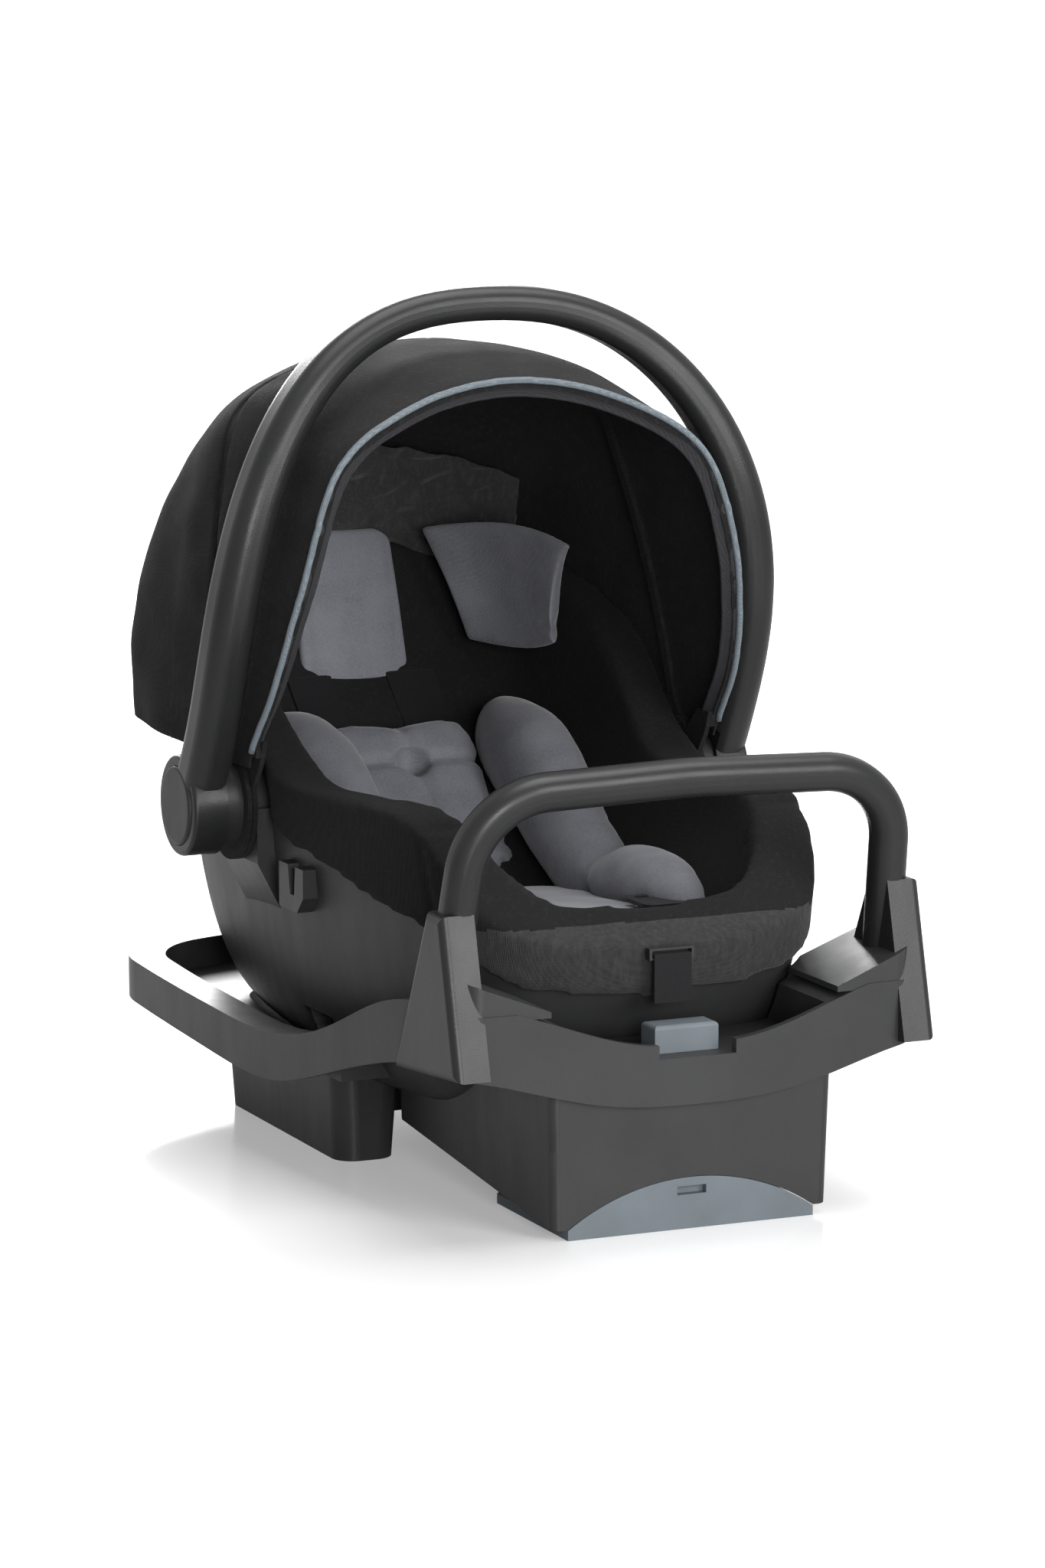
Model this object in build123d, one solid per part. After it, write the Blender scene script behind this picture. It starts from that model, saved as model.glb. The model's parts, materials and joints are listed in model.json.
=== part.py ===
from build123d import *
from math import copysign, cos, radians, sin, tan
import os

# Infant car seat: a carrier with handle and canopy, seated on a base with an anti-rebound bar.
# X runs across, Y from the foot end (negative) to the head end, Z up from the floor.
# The origin is the middle of the footprint, on the floor. All sizes are in millimetres.

os.makedirs("parts", exist_ok=True)

# General clearances
GAP = 0.4  # between pieces that move past each other
SEAT = 0.05  # between pieces that are fastened together
SHAFT_GAP = 0.05  # radial, round every pin that turns
SPAN = 600.0  # half length of cutting solids, beyond every piece

# Base rim and tray
BASE_FRONT = -350.0  # front face of the rim, on the centre line
BASE_BOW = 6.0  # how far the front face bows forward
BASE_REAR = 338.0
BASE_REAR_BOW = 38.0
RIM_HALF_FRONT = 168.0
RIM_HALF = 196.0  # widest half width, beside the seat
RIM_HALF_REAR = 190.0
RIM_WIDEST = 60.0  # Y of the widest place
RIM_REAR_RADIUS = 95.0
RIM_FRONT_RADIUS = 14.0
RIM_WALL = 4.0
RIM_BLOCK = 200.0  # height of the block that the rim is cut from
SHELF_WIDE = 26.0  # flat top of the rim, outside the well that the carrier stands in
WELL_FLOOR = 76.0
WELL_FRONT = -112.0
TRAY_GAP = 5.0  # tray to carrier shell
TRAY_WALL = 4.0
# Side view of the rim, from the foot end: where along Y, and the heights there
RIM_TOP = [(-356, 160), (-300, 162), (-236, 155), (-150, 122), (-60, 98), (60, 95), (200, 97), (345, 99)]
RIM_BOTTOM = [(-356, 117), (-256, 115), (-150, 88), (-47, 62), (60, 61), (240, 66), (345, 68)]
# Front view of the rim, from the centre outwards
DIP_TOP = [(0, 131), (34, 132), (80, 143), (120, 157), (200, 163)]
DIP_BOTTOM = [(0, 89), (60, 92), (107, 102), (168, 117), (200, 118)]
EAR_INNER = 108.0
EAR_REAR = -262.0
EAR_FOOT = 157.0
EAR_LOW = 161.0
EAR_HIGH = 184.0

# Lower housing of the base
BOX_HALF = 107.0
BOX_FRONT = -343.0
BOX_REAR = -70.0
BOX_TOP = 117.0
BOX_BOTTOM = 7.0
BOX_LIFT = 25.0  # how far the bottom edge rises towards the rear
BOX_DRAFT = 3.0
BOX_CORNER = 7.0
POD_OUTER = 151.0
POD_INNER = 98.0
POD_FRONT = -68.0
POD_REAR = 162.0
POD_TOP = 70.0
POD_DRAFT = 4.0
POD_CORNER = 16.0
LOWER_WALL = 3.5
WEB_TOP = 54.0
RIB_THICK = 3.0
RIB_DROP = 30.0
RIB_PLACES = [-20.0, 45.0, 110.0]

# Screws that join the two mouldings of the base
SCREW_RADIUS = 2.0
SCREW_HEAD = 4.0
SCREW_LENGTH = 24.0
BOSS_RADIUS = 7.0
BOSS_TOP = 8.0
SCREW_X = 118.0
SCREW_Y = [-30.0, 128.0]
HEAD_DEPTH = 4.0

# Recline foot, its toothed post, pawl and button
FOOT_HALF = 93.0
FOOT_EDGE = 7.0
FOOT_ARCH = 36.0  # top of the crescent
FOOT_FRONT = -341.0
FOOT_DEPTH = 120.0
POST_HALF = 11.0
POST_FRONT = -318.0
POST_REAR = -308.0
POST_TOP = 104.0
TOOTH_PITCH = 7.0
TOOTH_DEPTH = 3.0
TOOTH_COUNT = 5
PAWL_Z = 69.0  # centre height of the pawl
PAWL_HALF = 8.0
PAWL_LENGTH = 24.0
PAWL_THICK = 5.0
PAWL_PIN_Y = -294.0
PAWL_PIN_RADIUS = 2.5
BUTTON_HALF = 24.0
BUTTON_DEPTH = 22.0
BUTTON_Y = -321.0
BUTTON_TOP = 141.0
BUTTON_BASE = 110.0
BUTTON_TRAVEL = 5.0
FORK_X = 15.0
FORK_THICK = 3.0
FORK_BOTTOM = 62.0
POCKET_HALF = 29.0
LIP_WIDE = 7.0  # front edge of the rim ahead of the sunk floor
SUNK_HALF = 100.0
SUNK_REAR = -240.0
POCKET_FLOOR = 122.0
POCKET_WALL = 3.0

# Anti-rebound bar
BAR_TUBE = 26.0
BAR_ROUND = 11.0
BAR_LEG_HALF = 165.0
BAR_TOP_HALF = 157.0
BAR_START_Z = 186.0
BAR_START_Y = -304.0
BAR_RISE = 129.0
BAR_CROWN = 5.0
BAR_LEAN = 12.5
BAR_CORNER = 58.0
SKIRT_OUT = 181.0  # outer face of the bar's flared legs
LEG_REAR = -243.0
LEG_FRONT = -354.5
LEG_LOW = 109.0
LEG_TOE = 119.0
LEG_NECK = 228.0

# Carrier shell: height, foot end, head end and half width of each level
SHELL_LEVELS = [
    (66, -165, 170, 112),
    (110, -258, 258, 147),
    (180, -295, 290, 158),
    (255, -299, 305, 164),
    (335, -290, 325, 165),
    (425, -270, 330, 157),
]
SHELL_HALF = 160.0  # half width at the belt guides
SHELL_FRONT = -299.0
HOLLOW_HALF = 136.0
SHELL_WALL = 4.0
CORNER_SHARE = 0.4  # corner radius over half width
FOOT_SHARE = 0.78  # half width at the foot end over the widest
HEAD_SHARE = 0.86  # half width at the head end over the widest

# Seat hollow: the same four measures, at the face of the cover
HOLLOW_LEVELS = [
    (150, -225, 40, 84),
    (210, -269, 130, 108),
    (275, -271, 228, 128),
    (345, -261, 290, 139),
    (425, -245, 306, 139),
]
COVER_THICK = 12.0
SKIRT_THICK = 7.0
RIM_ROLL = 14.0  # cover above the shell's edge
# Side view of the cover's top line and of the lower edge of its outer skirt
COVER_TOP = [
    (-335, 176), (-298, 195), (-262, 222), (-205, 268), (-140, 274), (-60, 271),
    (0, 272), (50, 300), (100, 340), (160, 372), (230, 388), (370, 408),
]
SKIRT_EDGE = [
    (-335, 147), (-298, 151), (-250, 182), (-170, 201), (-97, 216), (-20, 226),
    (60, 264), (110, 308), (170, 340), (240, 352), (370, 372),
]

# Handle, its pivots and buttons
PIVOT_Y = 61.0
PIVOT_Z = 246.5
HUB_RADIUS = 37.0
HUB_OUTER = 222.5
HUB_INNER = 196.5
SOCKET_RADIUS = 33.0
PIN_RADIUS = 8.0
PIN_END = 206.0
DISC_RADIUS = 29.0
DISC_DEPTH = 12.0
DISC_TRAVEL = 4.0
DISC_PROUD = 2.0
GEAR_RADIUS = 22.0
GEAR_DEPTH = 5.0
GEAR_TEETH = 12
HANDLE_HALF = 208.0  # to the middle of the tube
HANDLE_SHOULDER = 330.0
HANDLE_TOP = 607.5
HANDLE_TOP_Y = 16.0
HANDLE_BOW = 51.0  # how far the legs bow forward in side view
HANDLE_SQUARE = 2.4  # 2 is an ellipse, more is squarer
LEG_WIDE = 33.0
LEG_DEEP = 40.0
GRIP_WIDE = 25.0
GRIP_DEEP = 36.0
PILLAR_HALF = 38.0
PILLAR_OUT = 175.0
PILLAR_KNEE = 206.0
PILLAR_FOOT = 150.0

# Canopy: cloth, bows and piping
CANOPY_EDGE_Z = 287.0
CANOPY_CLOTH = 1.6
CANOPY_HALF = 187.0
BOW_THICK = 3.4
BOW_WIDE = 10.0
PIPING = 5.0
MID_BOW_LEAN = 14.9
RING_RADIUS = 42.0
RING_THICK = 3.5
MID_RING_X = 180.0
FRONT_RING_X = 175.8
# Side view of the front edge of the canopy
CANOPY_FRONT = [(12, 270), (8, 286), (-20, 324), (-46, 377), (-60, 430), (-61, 478), (-55, 520), (-42, 552), (-20, 600)]
# Arches of the canopy: Y and Z of the turning line, backward tilt, then heights above that line
# of the arch's foot and crown, and half width and height of its corner
CANOPY_FRONT_ARCHES = [
    (-90, 268, 0.0, -12, 274, 146, 234),
    (-40, 268, 0.0, -12, 289, 147, 241),
    (20, 268, 0.0, -12, 303, 148, 252),
    (80, 268, 0.0, -12, 307, 150, 258),
    (160, 268, 0.0, -12, 302, 150, 255),
]
CANOPY_REAR_ARCHES = [
    (160, 268, 0.0, -12, 302, 150, 255),
    (162, 266, 12.0, -4, 295, 143, 245),
    (164, 264, 30.0, 6, 267, 152, 220),
    (165, 262, 50.0, 14, 236, 162, 192),
    (166, 259, 72.0, 22, 199, 165, 156),
    (168, 255, 90.0, 28, 184, 164, 138),
]
CANOPY_LAP = 6.0  # how far an inner form runs past the ends of an outer one
CANOPY_ROUND = 56.0  # radius of the corners

# Soft inserts
BACK_FOOT = (56.0, 170.0)  # side view of the middle of the back pad's face
BACK_HEAD = (176.0, 282.0)
BACK_HALF = 56.0
BACK_DEEP = 70.0
BACK_CROWN = 5.0
TUFT_RADIUS = 16.0
TUFT_DEPTH = 5.0
SEAT_REAR = (44.0, 170.0)
SEAT_FRONT = (-181.0, 186.0)
SEAT_HALF = 82.0
SEAT_CROWN = 5.0
BOLSTER_X = 88.0
BOLSTER_LINE = [(196, 280, 9), (170, 264, 29), (100, 238, 36), (28, 194, 34), (-28, 174, 27), (-46, 170, 9)]
THIGH_LINE = [(-22, 178, 9), (-48, 183, 25), (-84, 187, 29), (-146, 181, 26), (-180, 174, 9)]
BOLSTER_FLAT = 0.85  # width over height
PANEL_FOOT = (252.0, 282.0)
PANEL_HEAD = (290.0, 412.0)
PANEL_HALF_FOOT = 45.0
PANEL_HALF_HEAD = 41.0
PANEL_DEEP = 30.0
WING_FOOT_Z = 326.0
WING_TOP_Z = 420.0
WING_THICK = 24.0
WING_PLAN = [(50.0, 278.0), (100.0, 210.0), (116.0, 112.0)]
WING_CHAMFER = 46.0

# Harness
STRAP_WIDE = 38.0
STRAP_THICK = 2.0
STRAP_X = 42.0
BUCKLE_HALF = 24.0
BUCKLE_Y = (-213.0, -186.0)
BUCKLE_TOP = 187.0
BUCKLE_FOOT = 170.0
BUCKLE_BUTTON_HALF = 11.0
BUCKLE_TRAVEL = 2.5
CROTCH_HALF = 40.0
CROTCH_Y = (-258.0, -216.0)
CROTCH_FOOT = 170.0
CROTCH_TOP = 186.0
TONGUE_X = 62.0
TONGUE_HALF = 19.0
TONGUE_Y = (-176.0, -134.0)
SLIT_HALF = 17.0
SLIT_Z = (182.0, 190.0)
SLIT_REAR = -284.0
ADJUST_HALF = 14.0
ADJUST_HANG = 152.0
LEVER_PIN_RADIUS = 1.5
ADJUST_PIN_Z = 186.5
SLOT_HEIGHTS = [226.0, 254.0]
SLOT_TALL = 7.0

# Latch between carrier and base
LATCH_BAR_RADIUS = 5.0
LATCH_BAR_HALF = 141.0
LATCH_LUG_X = (134.0, 146.0)  # lugs on the floor of the well that hold the bar
LATCH_LUG_HALF = 11.0
LATCH_LUG_TOP = 95.0
LATCH_Y = -30.0
LATCH_Z = 84.0
GROOVE_FRONT = -41.0
GROOVE_REAR = 10.0
GROOVE_TOP = 102.0
BRACKET_WALL = 3.0
HOOK_SHAFT_RADIUS = 4.0
HOOK_Y = -19.0
HOOK_Z = 95.0
HOOK_X = 58.0
HOOK_THICK = 8.0
HOOK_OPEN = 45.0
RELEASE_Z = 268.0
RELEASE_Y = 320.0
RELEASE_HALF = 44.0
RELEASE_DROP = 40.0
RELEASE_THICK = 6.0
RELEASE_PIN_RADIUS = 2.5
RELEASE_OPEN = 18.0
LUG_THICK = 6.0

# Belt guides on the shell's sides
GUIDE_FRONT = -50.0
GUIDE_REAR = -4.0
GUIDE_FOOT = 180.0
GUIDE_TOP = 213.0
GUIDE_OUT = 9.0


def block(x0, x1, y0, y1, z0, z1):
    return Pos((x0 + x1) / 2, (y0 + y1) / 2, (z0 + z1) / 2) * Box(abs(x1 - x0), abs(y1 - y0), abs(z1 - z0))


def rod(radius, x0, x1, y, z):
    """Round bar along X."""
    return Pos((x0 + x1) / 2, y, z) * Rot(0, 90, 0) * Cylinder(radius, abs(x1 - x0))


def post(radius, x, y, z0, z1):
    """Round bar along Z."""
    return Pos(x, y, (z0 + z1) / 2) * Cylinder(radius, z1 - z0)


def side_plate(outline, x0, x1):
    """Side-view outline made into a plate from x0 to x1."""
    face = make_face(Polyline(*outline, close=True))
    return Pos(x0, 0, 0) * extrude(Plane.YZ * face, x1 - x0)


def mirrored(shape):
    return mirror(shape, about=Plane.YZ)


def spline_through(points):
    return Spline(*[(float(a), float(b)) for a, b in points])


def below_side(points, drop=0.0, shift=0.0):
    """Everything under a side-view line, right across the object."""
    line = [(y + shift, z - drop) for y, z in points]
    rest = Polyline(line[-1], (line[-1][0], -SPAN), (line[0][0], -SPAN), line[0])
    face = make_face(Curve() + spline_through(line) + rest)
    return extrude(Plane.YZ * face, SPAN, both=True)


def below_front(points, drop=0.0):
    """Everything under a front-view line that is the same on both sides."""
    right = [(x, z - drop) for x, z in points]
    line = [(-x, z) for x, z in reversed(right[1:])] + right
    rest = Polyline(line[-1], (line[-1][0], -SPAN), (line[0][0], -SPAN), line[0])
    face = make_face(Curve() + spline_through(line) + rest)
    return extrude(Plane.XZ * face, SPAN, both=True)


def level_plan(front, rear, half):
    """Plan of one level of a tub: bowed ends and sides with large corners."""
    middle = (front + rear) / 2
    foot = half * FOOT_SHARE
    head = half * HEAD_SHARE
    front_y = front + half * 0.16
    rear_y = rear - half * 0.2
    edges = Curve()
    edges += ThreePointArc((-foot, front_y), (0, front), (foot, front_y))
    edges += ThreePointArc((foot, front_y), (half, middle), (head, rear_y))
    edges += ThreePointArc((head, rear_y), (0, rear), (-head, rear_y))
    edges += ThreePointArc((-head, rear_y), (-half, middle), (-foot, front_y))
    plan = make_face(edges)
    return fillet(plan.vertices(), half * CORNER_SHARE)


def tub(levels, grow=0.0):
    """Solid lofted through the levels, grown outwards by a wall or a clearance."""
    faces = []
    for index, (height, front, rear, half) in enumerate(levels):
        lift = height - grow if index == 0 else height
        faces.append(Pos(0, 0, lift) * level_plan(front - grow, rear + grow, half + grow))
    return loft(faces)


# Base

def rim_plan(inset=0.0):
    corner_y = BASE_FRONT + BASE_BOW + inset
    side = RIM_HALF_FRONT - inset
    rear_side = RIM_HALF_REAR - inset
    rear_y = BASE_REAR - BASE_REAR_BOW - inset
    edges = Curve()
    edges += ThreePointArc((-side, corner_y), (0, BASE_FRONT + inset), (side, corner_y))
    edges += ThreePointArc((side, corner_y), (RIM_HALF - inset, RIM_WIDEST), (rear_side, rear_y))
    edges += ThreePointArc((rear_side, rear_y), (0, BASE_REAR - inset), (-rear_side, rear_y))
    edges += ThreePointArc((-rear_side, rear_y), (inset - RIM_HALF, RIM_WIDEST), (-side, corner_y))
    plan = make_face(edges)
    plan = fillet(plan.vertices().sort_by(Axis.Y)[:2], RIM_FRONT_RADIUS)
    return fillet(plan.vertices().sort_by(Axis.Y)[-2:], RIM_REAR_RADIUS - inset)


def rim_block(inset):
    """The rim's outline as a full block under its top lines, each face moved in by inset."""
    full = extrude(rim_plan(inset), RIM_BLOCK)
    return full & below_side(RIM_TOP, inset) & below_front(DIP_TOP, inset)


def ears():
    """Ramps on the rim's front corners that the bar's legs stand beside."""
    outline = [(EAR_INNER, EAR_FOOT), (EAR_INNER, EAR_LOW), (RIM_HALF_FRONT, EAR_HIGH), (RIM_HALF_FRONT, EAR_FOOT)]
    face = make_face(Polyline(*outline, close=True))
    ramp = Pos(0, EAR_REAR, 0) * extrude(Plane.XZ * face, EAR_REAR - BASE_FRONT)
    ramp = ramp & extrude(rim_plan(RIM_WALL / 4), RIM_BLOCK)
    return ramp + mirrored(ramp)


def rim_well(grow):
    """Well in the rim beside and behind the carrier, grown outwards for its walls."""
    well = extrude(rim_plan(SHELF_WIDE - grow), RIM_BLOCK)
    return well & block(-SPAN, SPAN, WELL_FRONT - grow, SPAN, WELL_FLOOR - grow, RIM_BLOCK)


def screw_places():
    return [(side * SCREW_X, y) for side in (-1, 1) for y in SCREW_Y]


def button_well(grow):
    half = BUTTON_HALF + grow
    deep = BUTTON_DEPTH / 2 + grow
    return block(-half, half, BUTTON_Y - deep, BUTTON_Y + deep, 0, RIM_BLOCK)


def make_base_upper(rim, seat):
    upper = rim - rim_block(RIM_WALL)
    upper = upper - (below_side(RIM_BOTTOM) & below_front(DIP_BOTTOM))
    upper = upper + ears()
    tray = tub(SHELL_LEVELS, TRAY_GAP + TRAY_WALL) & rim
    for x, y in screw_places():
        tray = tray + post(BOSS_RADIUS - 1, x, y, BOSS_TOP + SEAT, WELL_FLOOR - TRAY_WALL / 2)
    upper = upper + tray + (rim_well(TRAY_WALL) & rim) - rim_well(0)
    lugs = [block(side * LATCH_LUG_X[0], side * LATCH_LUG_X[1], LATCH_Y - LATCH_LUG_HALF, LATCH_Y + LATCH_LUG_HALF,
                  WELL_FLOOR - 1, LATCH_LUG_TOP) for side in (-1, 1)]
    sunk = block(-SUNK_HALF, SUNK_HALF, BASE_FRONT + LIP_WIDE, SUNK_REAR, POCKET_FLOOR, RIM_BLOCK)
    liner = block(-SUNK_HALF - POCKET_WALL, SUNK_HALF + POCKET_WALL, BASE_FRONT + RIM_WALL / 2,
                  SUNK_REAR, POCKET_FLOOR - POCKET_WALL, RIM_BLOCK)
    upper = upper + lugs + (liner & rim) - sunk - seat
    upper = upper - block(-POCKET_HALF, POCKET_HALF, BASE_FRONT - RIM_WALL, BASE_FRONT + 2 * LIP_WIDE,
                          POCKET_FLOOR, RIM_BLOCK)
    upper = upper - button_well(GAP)
    for x, y in screw_places():
        upper = upper - post(SCREW_RADIUS + SEAT, x, y, 0, HEAD_DEPTH + SCREW_LENGTH)
    return upper - rod(LATCH_BAR_RADIUS + SEAT, -LATCH_BAR_HALF, LATCH_BAR_HALF, LATCH_Y, LATCH_Z)


def drafted(x0, x1, y0, y1, z0, z1, draft, corner, inset=0.0):
    """Block with rounded upright corners, narrower at the bottom by the draft."""
    wide = x1 - x0 - 2 * inset
    long = y1 - y0 - 2 * inset
    middle = Pos((x0 + x1) / 2, (y0 + y1) / 2, 0)
    top = Pos(0, 0, z1) * middle * RectangleRounded(wide, long, corner - inset)
    low = Pos(0, 0, z0) * middle * RectangleRounded(wide - 2 * draft, long - 2 * draft, corner - inset)
    return loft([low, top])


def front_box(inset=0.0):
    return drafted(-BOX_HALF, BOX_HALF, BOX_FRONT, BOX_REAR, 0, BOX_TOP, BOX_DRAFT, BOX_CORNER, inset)


def foot_profile(grow=0.0):
    """Crescent seen from the front."""
    half = FOOT_HALF + grow
    edges = Curve() + Polyline((-half, FOOT_EDGE + grow), (-half, -grow), (half, -grow), (half, FOOT_EDGE + grow))
    edges += ThreePointArc((half, FOOT_EDGE + grow), (0, FOOT_ARCH + grow), (-half, FOOT_EDGE + grow))
    return Plane.XZ * make_face(edges)


def make_base_lower():
    box = front_box() - front_box(LOWER_WALL)
    slope = BOX_LIFT / (BOX_REAR - BOX_FRONT)
    under = [(BOX_FRONT - 20, BOX_BOTTOM - 20 * slope), (BOX_REAR + 20, BOX_BOTTOM + BOX_LIFT + 20 * slope),
             (BOX_REAR + 20, -SPAN), (BOX_FRONT - 20, -SPAN)]
    box = box - side_plate(under, -SPAN, SPAN)
    guide_rear = PAWL_PIN_Y + PAWL_LENGTH / 2
    guide = block(-FORK_X + GAP, FORK_X - GAP, BOX_FRONT + LOWER_WALL / 2, guide_rear, 56, 80)
    guide = guide - block(-POST_HALF - GAP, POST_HALF + GAP, POST_FRONT - GAP, POST_REAR + GAP, 0, RIM_BLOCK)
    pawl_y = POST_REAR - TOOTH_DEPTH
    guide = guide - block(-PAWL_HALF - GAP, PAWL_HALF + GAP, pawl_y, guide_rear + 1,
                          PAWL_Z - PAWL_THICK / 2 - GAP, RIM_BLOCK)
    guide = guide - block(-SPAN, SPAN, PAWL_PIN_Y - 2 * PAWL_PIN_RADIUS, guide_rear + 1,
                          PAWL_Z - PAWL_PIN_RADIUS - GAP, RIM_BLOCK)
    web = block(-POD_INNER - POD_DRAFT, POD_INNER + POD_DRAFT, BOX_REAR - 40, POD_REAR - POD_DRAFT,
                WEB_TOP - LOWER_WALL, WEB_TOP)
    lower = box + (guide & front_box(LOWER_WALL / 2)) + web
    for y in RIB_PLACES:
        lower = lower + block(-POD_INNER - 2, POD_INNER + 2, y, y + RIB_THICK, WEB_TOP - RIB_DROP, WEB_TOP - 1)
    for side in (-1, 1):
        x0, x1 = sorted((side * POD_INNER, side * POD_OUTER))
        pod = drafted(x0, x1, POD_FRONT, POD_REAR, 0, POD_TOP, POD_DRAFT, POD_CORNER)
        hollow = drafted(x0, x1, POD_FRONT, POD_REAR, LOWER_WALL, POD_TOP + 1, POD_DRAFT, POD_CORNER, LOWER_WALL)
        lower = lower + pod - hollow
    for x, y in screw_places():
        lower = lower + post(BOSS_RADIUS, x, y, 1, BOSS_TOP)
        lower = lower - post(SCREW_HEAD + GAP, x, y, -1, HEAD_DEPTH)
        lower = lower - post(SCREW_RADIUS + GAP, x, y, 0, BOSS_TOP + 1)
    arch = Pos(0, BOX_FRONT + 20, 0) * extrude(foot_profile(GAP), 60)
    lower = lower - arch
    return lower - tub(SHELL_LEVELS, TRAY_GAP + TRAY_WALL + SEAT)


def make_base_screws():
    screws = []
    for x, y in screw_places():
        head = post(SCREW_HEAD, x, y, HEAD_DEPTH - 2.5, HEAD_DEPTH)
        screws.append(head + post(SCREW_RADIUS, x, y, HEAD_DEPTH - 1, HEAD_DEPTH + SCREW_LENGTH - 1))
    return Compound(children=screws)


def make_recline_foot():
    foot = Pos(0, FOOT_FRONT + FOOT_DEPTH, 0) * extrude(foot_profile(), FOOT_DEPTH)
    foot = foot - block(-11, 11, FOOT_FRONT - 1, FOOT_FRONT + 6, 24, 30)
    rack = block(-POST_HALF, POST_HALF, POST_FRONT, POST_REAR, FOOT_EDGE, POST_TOP)
    for count in range(TOOTH_COUNT):
        z = PAWL_Z + count * TOOTH_PITCH
        rack = rack - side_plate([(POST_REAR + 1, z - PAWL_THICK / 2 - GAP), (POST_REAR + 1, z + PAWL_THICK / 2 + GAP),
                                  (POST_REAR - TOOTH_DEPTH, z + PAWL_THICK / 2 + GAP),
                                  (POST_REAR - TOOTH_DEPTH, z - PAWL_THICK / 2 - GAP)], -SPAN, SPAN)
    return foot + rack


def make_foot_pawl():
    half = PAWL_THICK / 2
    rear = PAWL_PIN_Y + PAWL_LENGTH / 2 - 4
    bolt = block(-PAWL_HALF, PAWL_HALF, POST_REAR + GAP, rear, PAWL_Z - half, PAWL_Z + half)
    pin = rod(PAWL_PIN_RADIUS, -FORK_X - FORK_THICK - 1, FORK_X + FORK_THICK + 1, PAWL_PIN_Y, PAWL_Z)
    return bolt + pin


def make_foot_button():
    half_depth = BUTTON_DEPTH / 2
    cap = block(-BUTTON_HALF, BUTTON_HALF, BUTTON_Y - half_depth, BUTTON_Y + half_depth, BUTTON_BASE, BUTTON_TOP)
    cap = fillet(cap.edges().group_by(Axis.Z)[-1], 3)
    fork_rear = PAWL_PIN_Y + BUTTON_TRAVEL + 8
    slot_middle = (PAWL_PIN_Y + BUTTON_TRAVEL / 2, PAWL_Z + BUTTON_TRAVEL / 2)
    slot = SlotCenterToCenter(BUTTON_TRAVEL * 1.414 + 0.6, 2 * (PAWL_PIN_RADIUS + GAP))
    for side in (-1, 1):
        x0 = side * FORK_X if side > 0 else -FORK_X - FORK_THICK
        plate = side_plate([(BUTTON_Y - 4, BUTTON_BASE + 4), (BUTTON_Y + half_depth, BUTTON_BASE + 4),
                            (BUTTON_Y + half_depth, BUTTON_BASE - 6), (fork_rear, PAWL_Z + 18),
                            (fork_rear, FORK_BOTTOM), (PAWL_PIN_Y - 8, FORK_BOTTOM),
                            (PAWL_PIN_Y - 8, PAWL_Z + 14), (BUTTON_Y - 4, BUTTON_BASE - 12)],
                           x0, x0 + FORK_THICK)
        cam = Pos(x0 - 1, 0, 0) * extrude(Plane.YZ * (Pos(*slot_middle) * Rot(0, 0, 45) * slot), FORK_THICK + 2)
        cap = cap + plate - cam
    return cap


def make_button_spring():
    ring = Circle(4) - Circle(3)
    return Pos(0, BUTTON_Y, POST_TOP + 1) * extrude(ring, BUTTON_BASE - POST_TOP - 2)


def make_bar(rim_solid):
    lean = radians(BAR_LEAN)
    plane = Plane(origin=(0, BAR_START_Y, BAR_START_Z), x_dir=(1, 0, 0), z_dir=(0, -cos(lean), -sin(lean)))
    points = [(-BAR_LEG_HALF, -10), (-BAR_TOP_HALF, BAR_RISE - BAR_CROWN), (0, BAR_RISE),
              (BAR_TOP_HALF, BAR_RISE - BAR_CROWN), (BAR_LEG_HALF, -10)]
    path = plane * FilletPolyline(*points, radius=[BAR_CORNER, 8 * BAR_CORNER, BAR_CORNER])
    tube = sweep((path ^ 0) * RectangleRounded(BAR_TUBE, BAR_TUBE, BAR_ROUND), path=path)
    neck_y = BAR_START_Y - (LEG_NECK - BAR_START_Z) * tan(lean)
    outline = [(neck_y + BAR_TUBE / 2, LEG_NECK), (LEG_REAR, LEG_LOW), (LEG_FRONT, LEG_TOE),
               (neck_y - BAR_TUBE / 2, LEG_NECK)]
    leg = side_plate(outline, RIM_HALF_FRONT - 12, SKIRT_OUT)
    outer = [e for e in leg.edges() if abs(e.center().X - SKIRT_OUT) < 0.1]
    leg = fillet(outer, 6)
    bar = tube + leg + mirrored(leg)
    return bar - rim_solid


def make_latch_bar():
    return rod(LATCH_BAR_RADIUS, -LATCH_BAR_HALF, LATCH_BAR_HALF, LATCH_Y, LATCH_Z)


# Carrier

def groove(grow=0.0):
    """Room under the carrier for the latch bar and the hooks."""
    return block(-SPAN, SPAN, GROOVE_FRONT - grow, GROOVE_REAR + grow, 0, GROOVE_TOP + grow)


def hub_cylinder(radius, x0, x1):
    return rod(radius, x0, x1, PIVOT_Y, PIVOT_Z)


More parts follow.
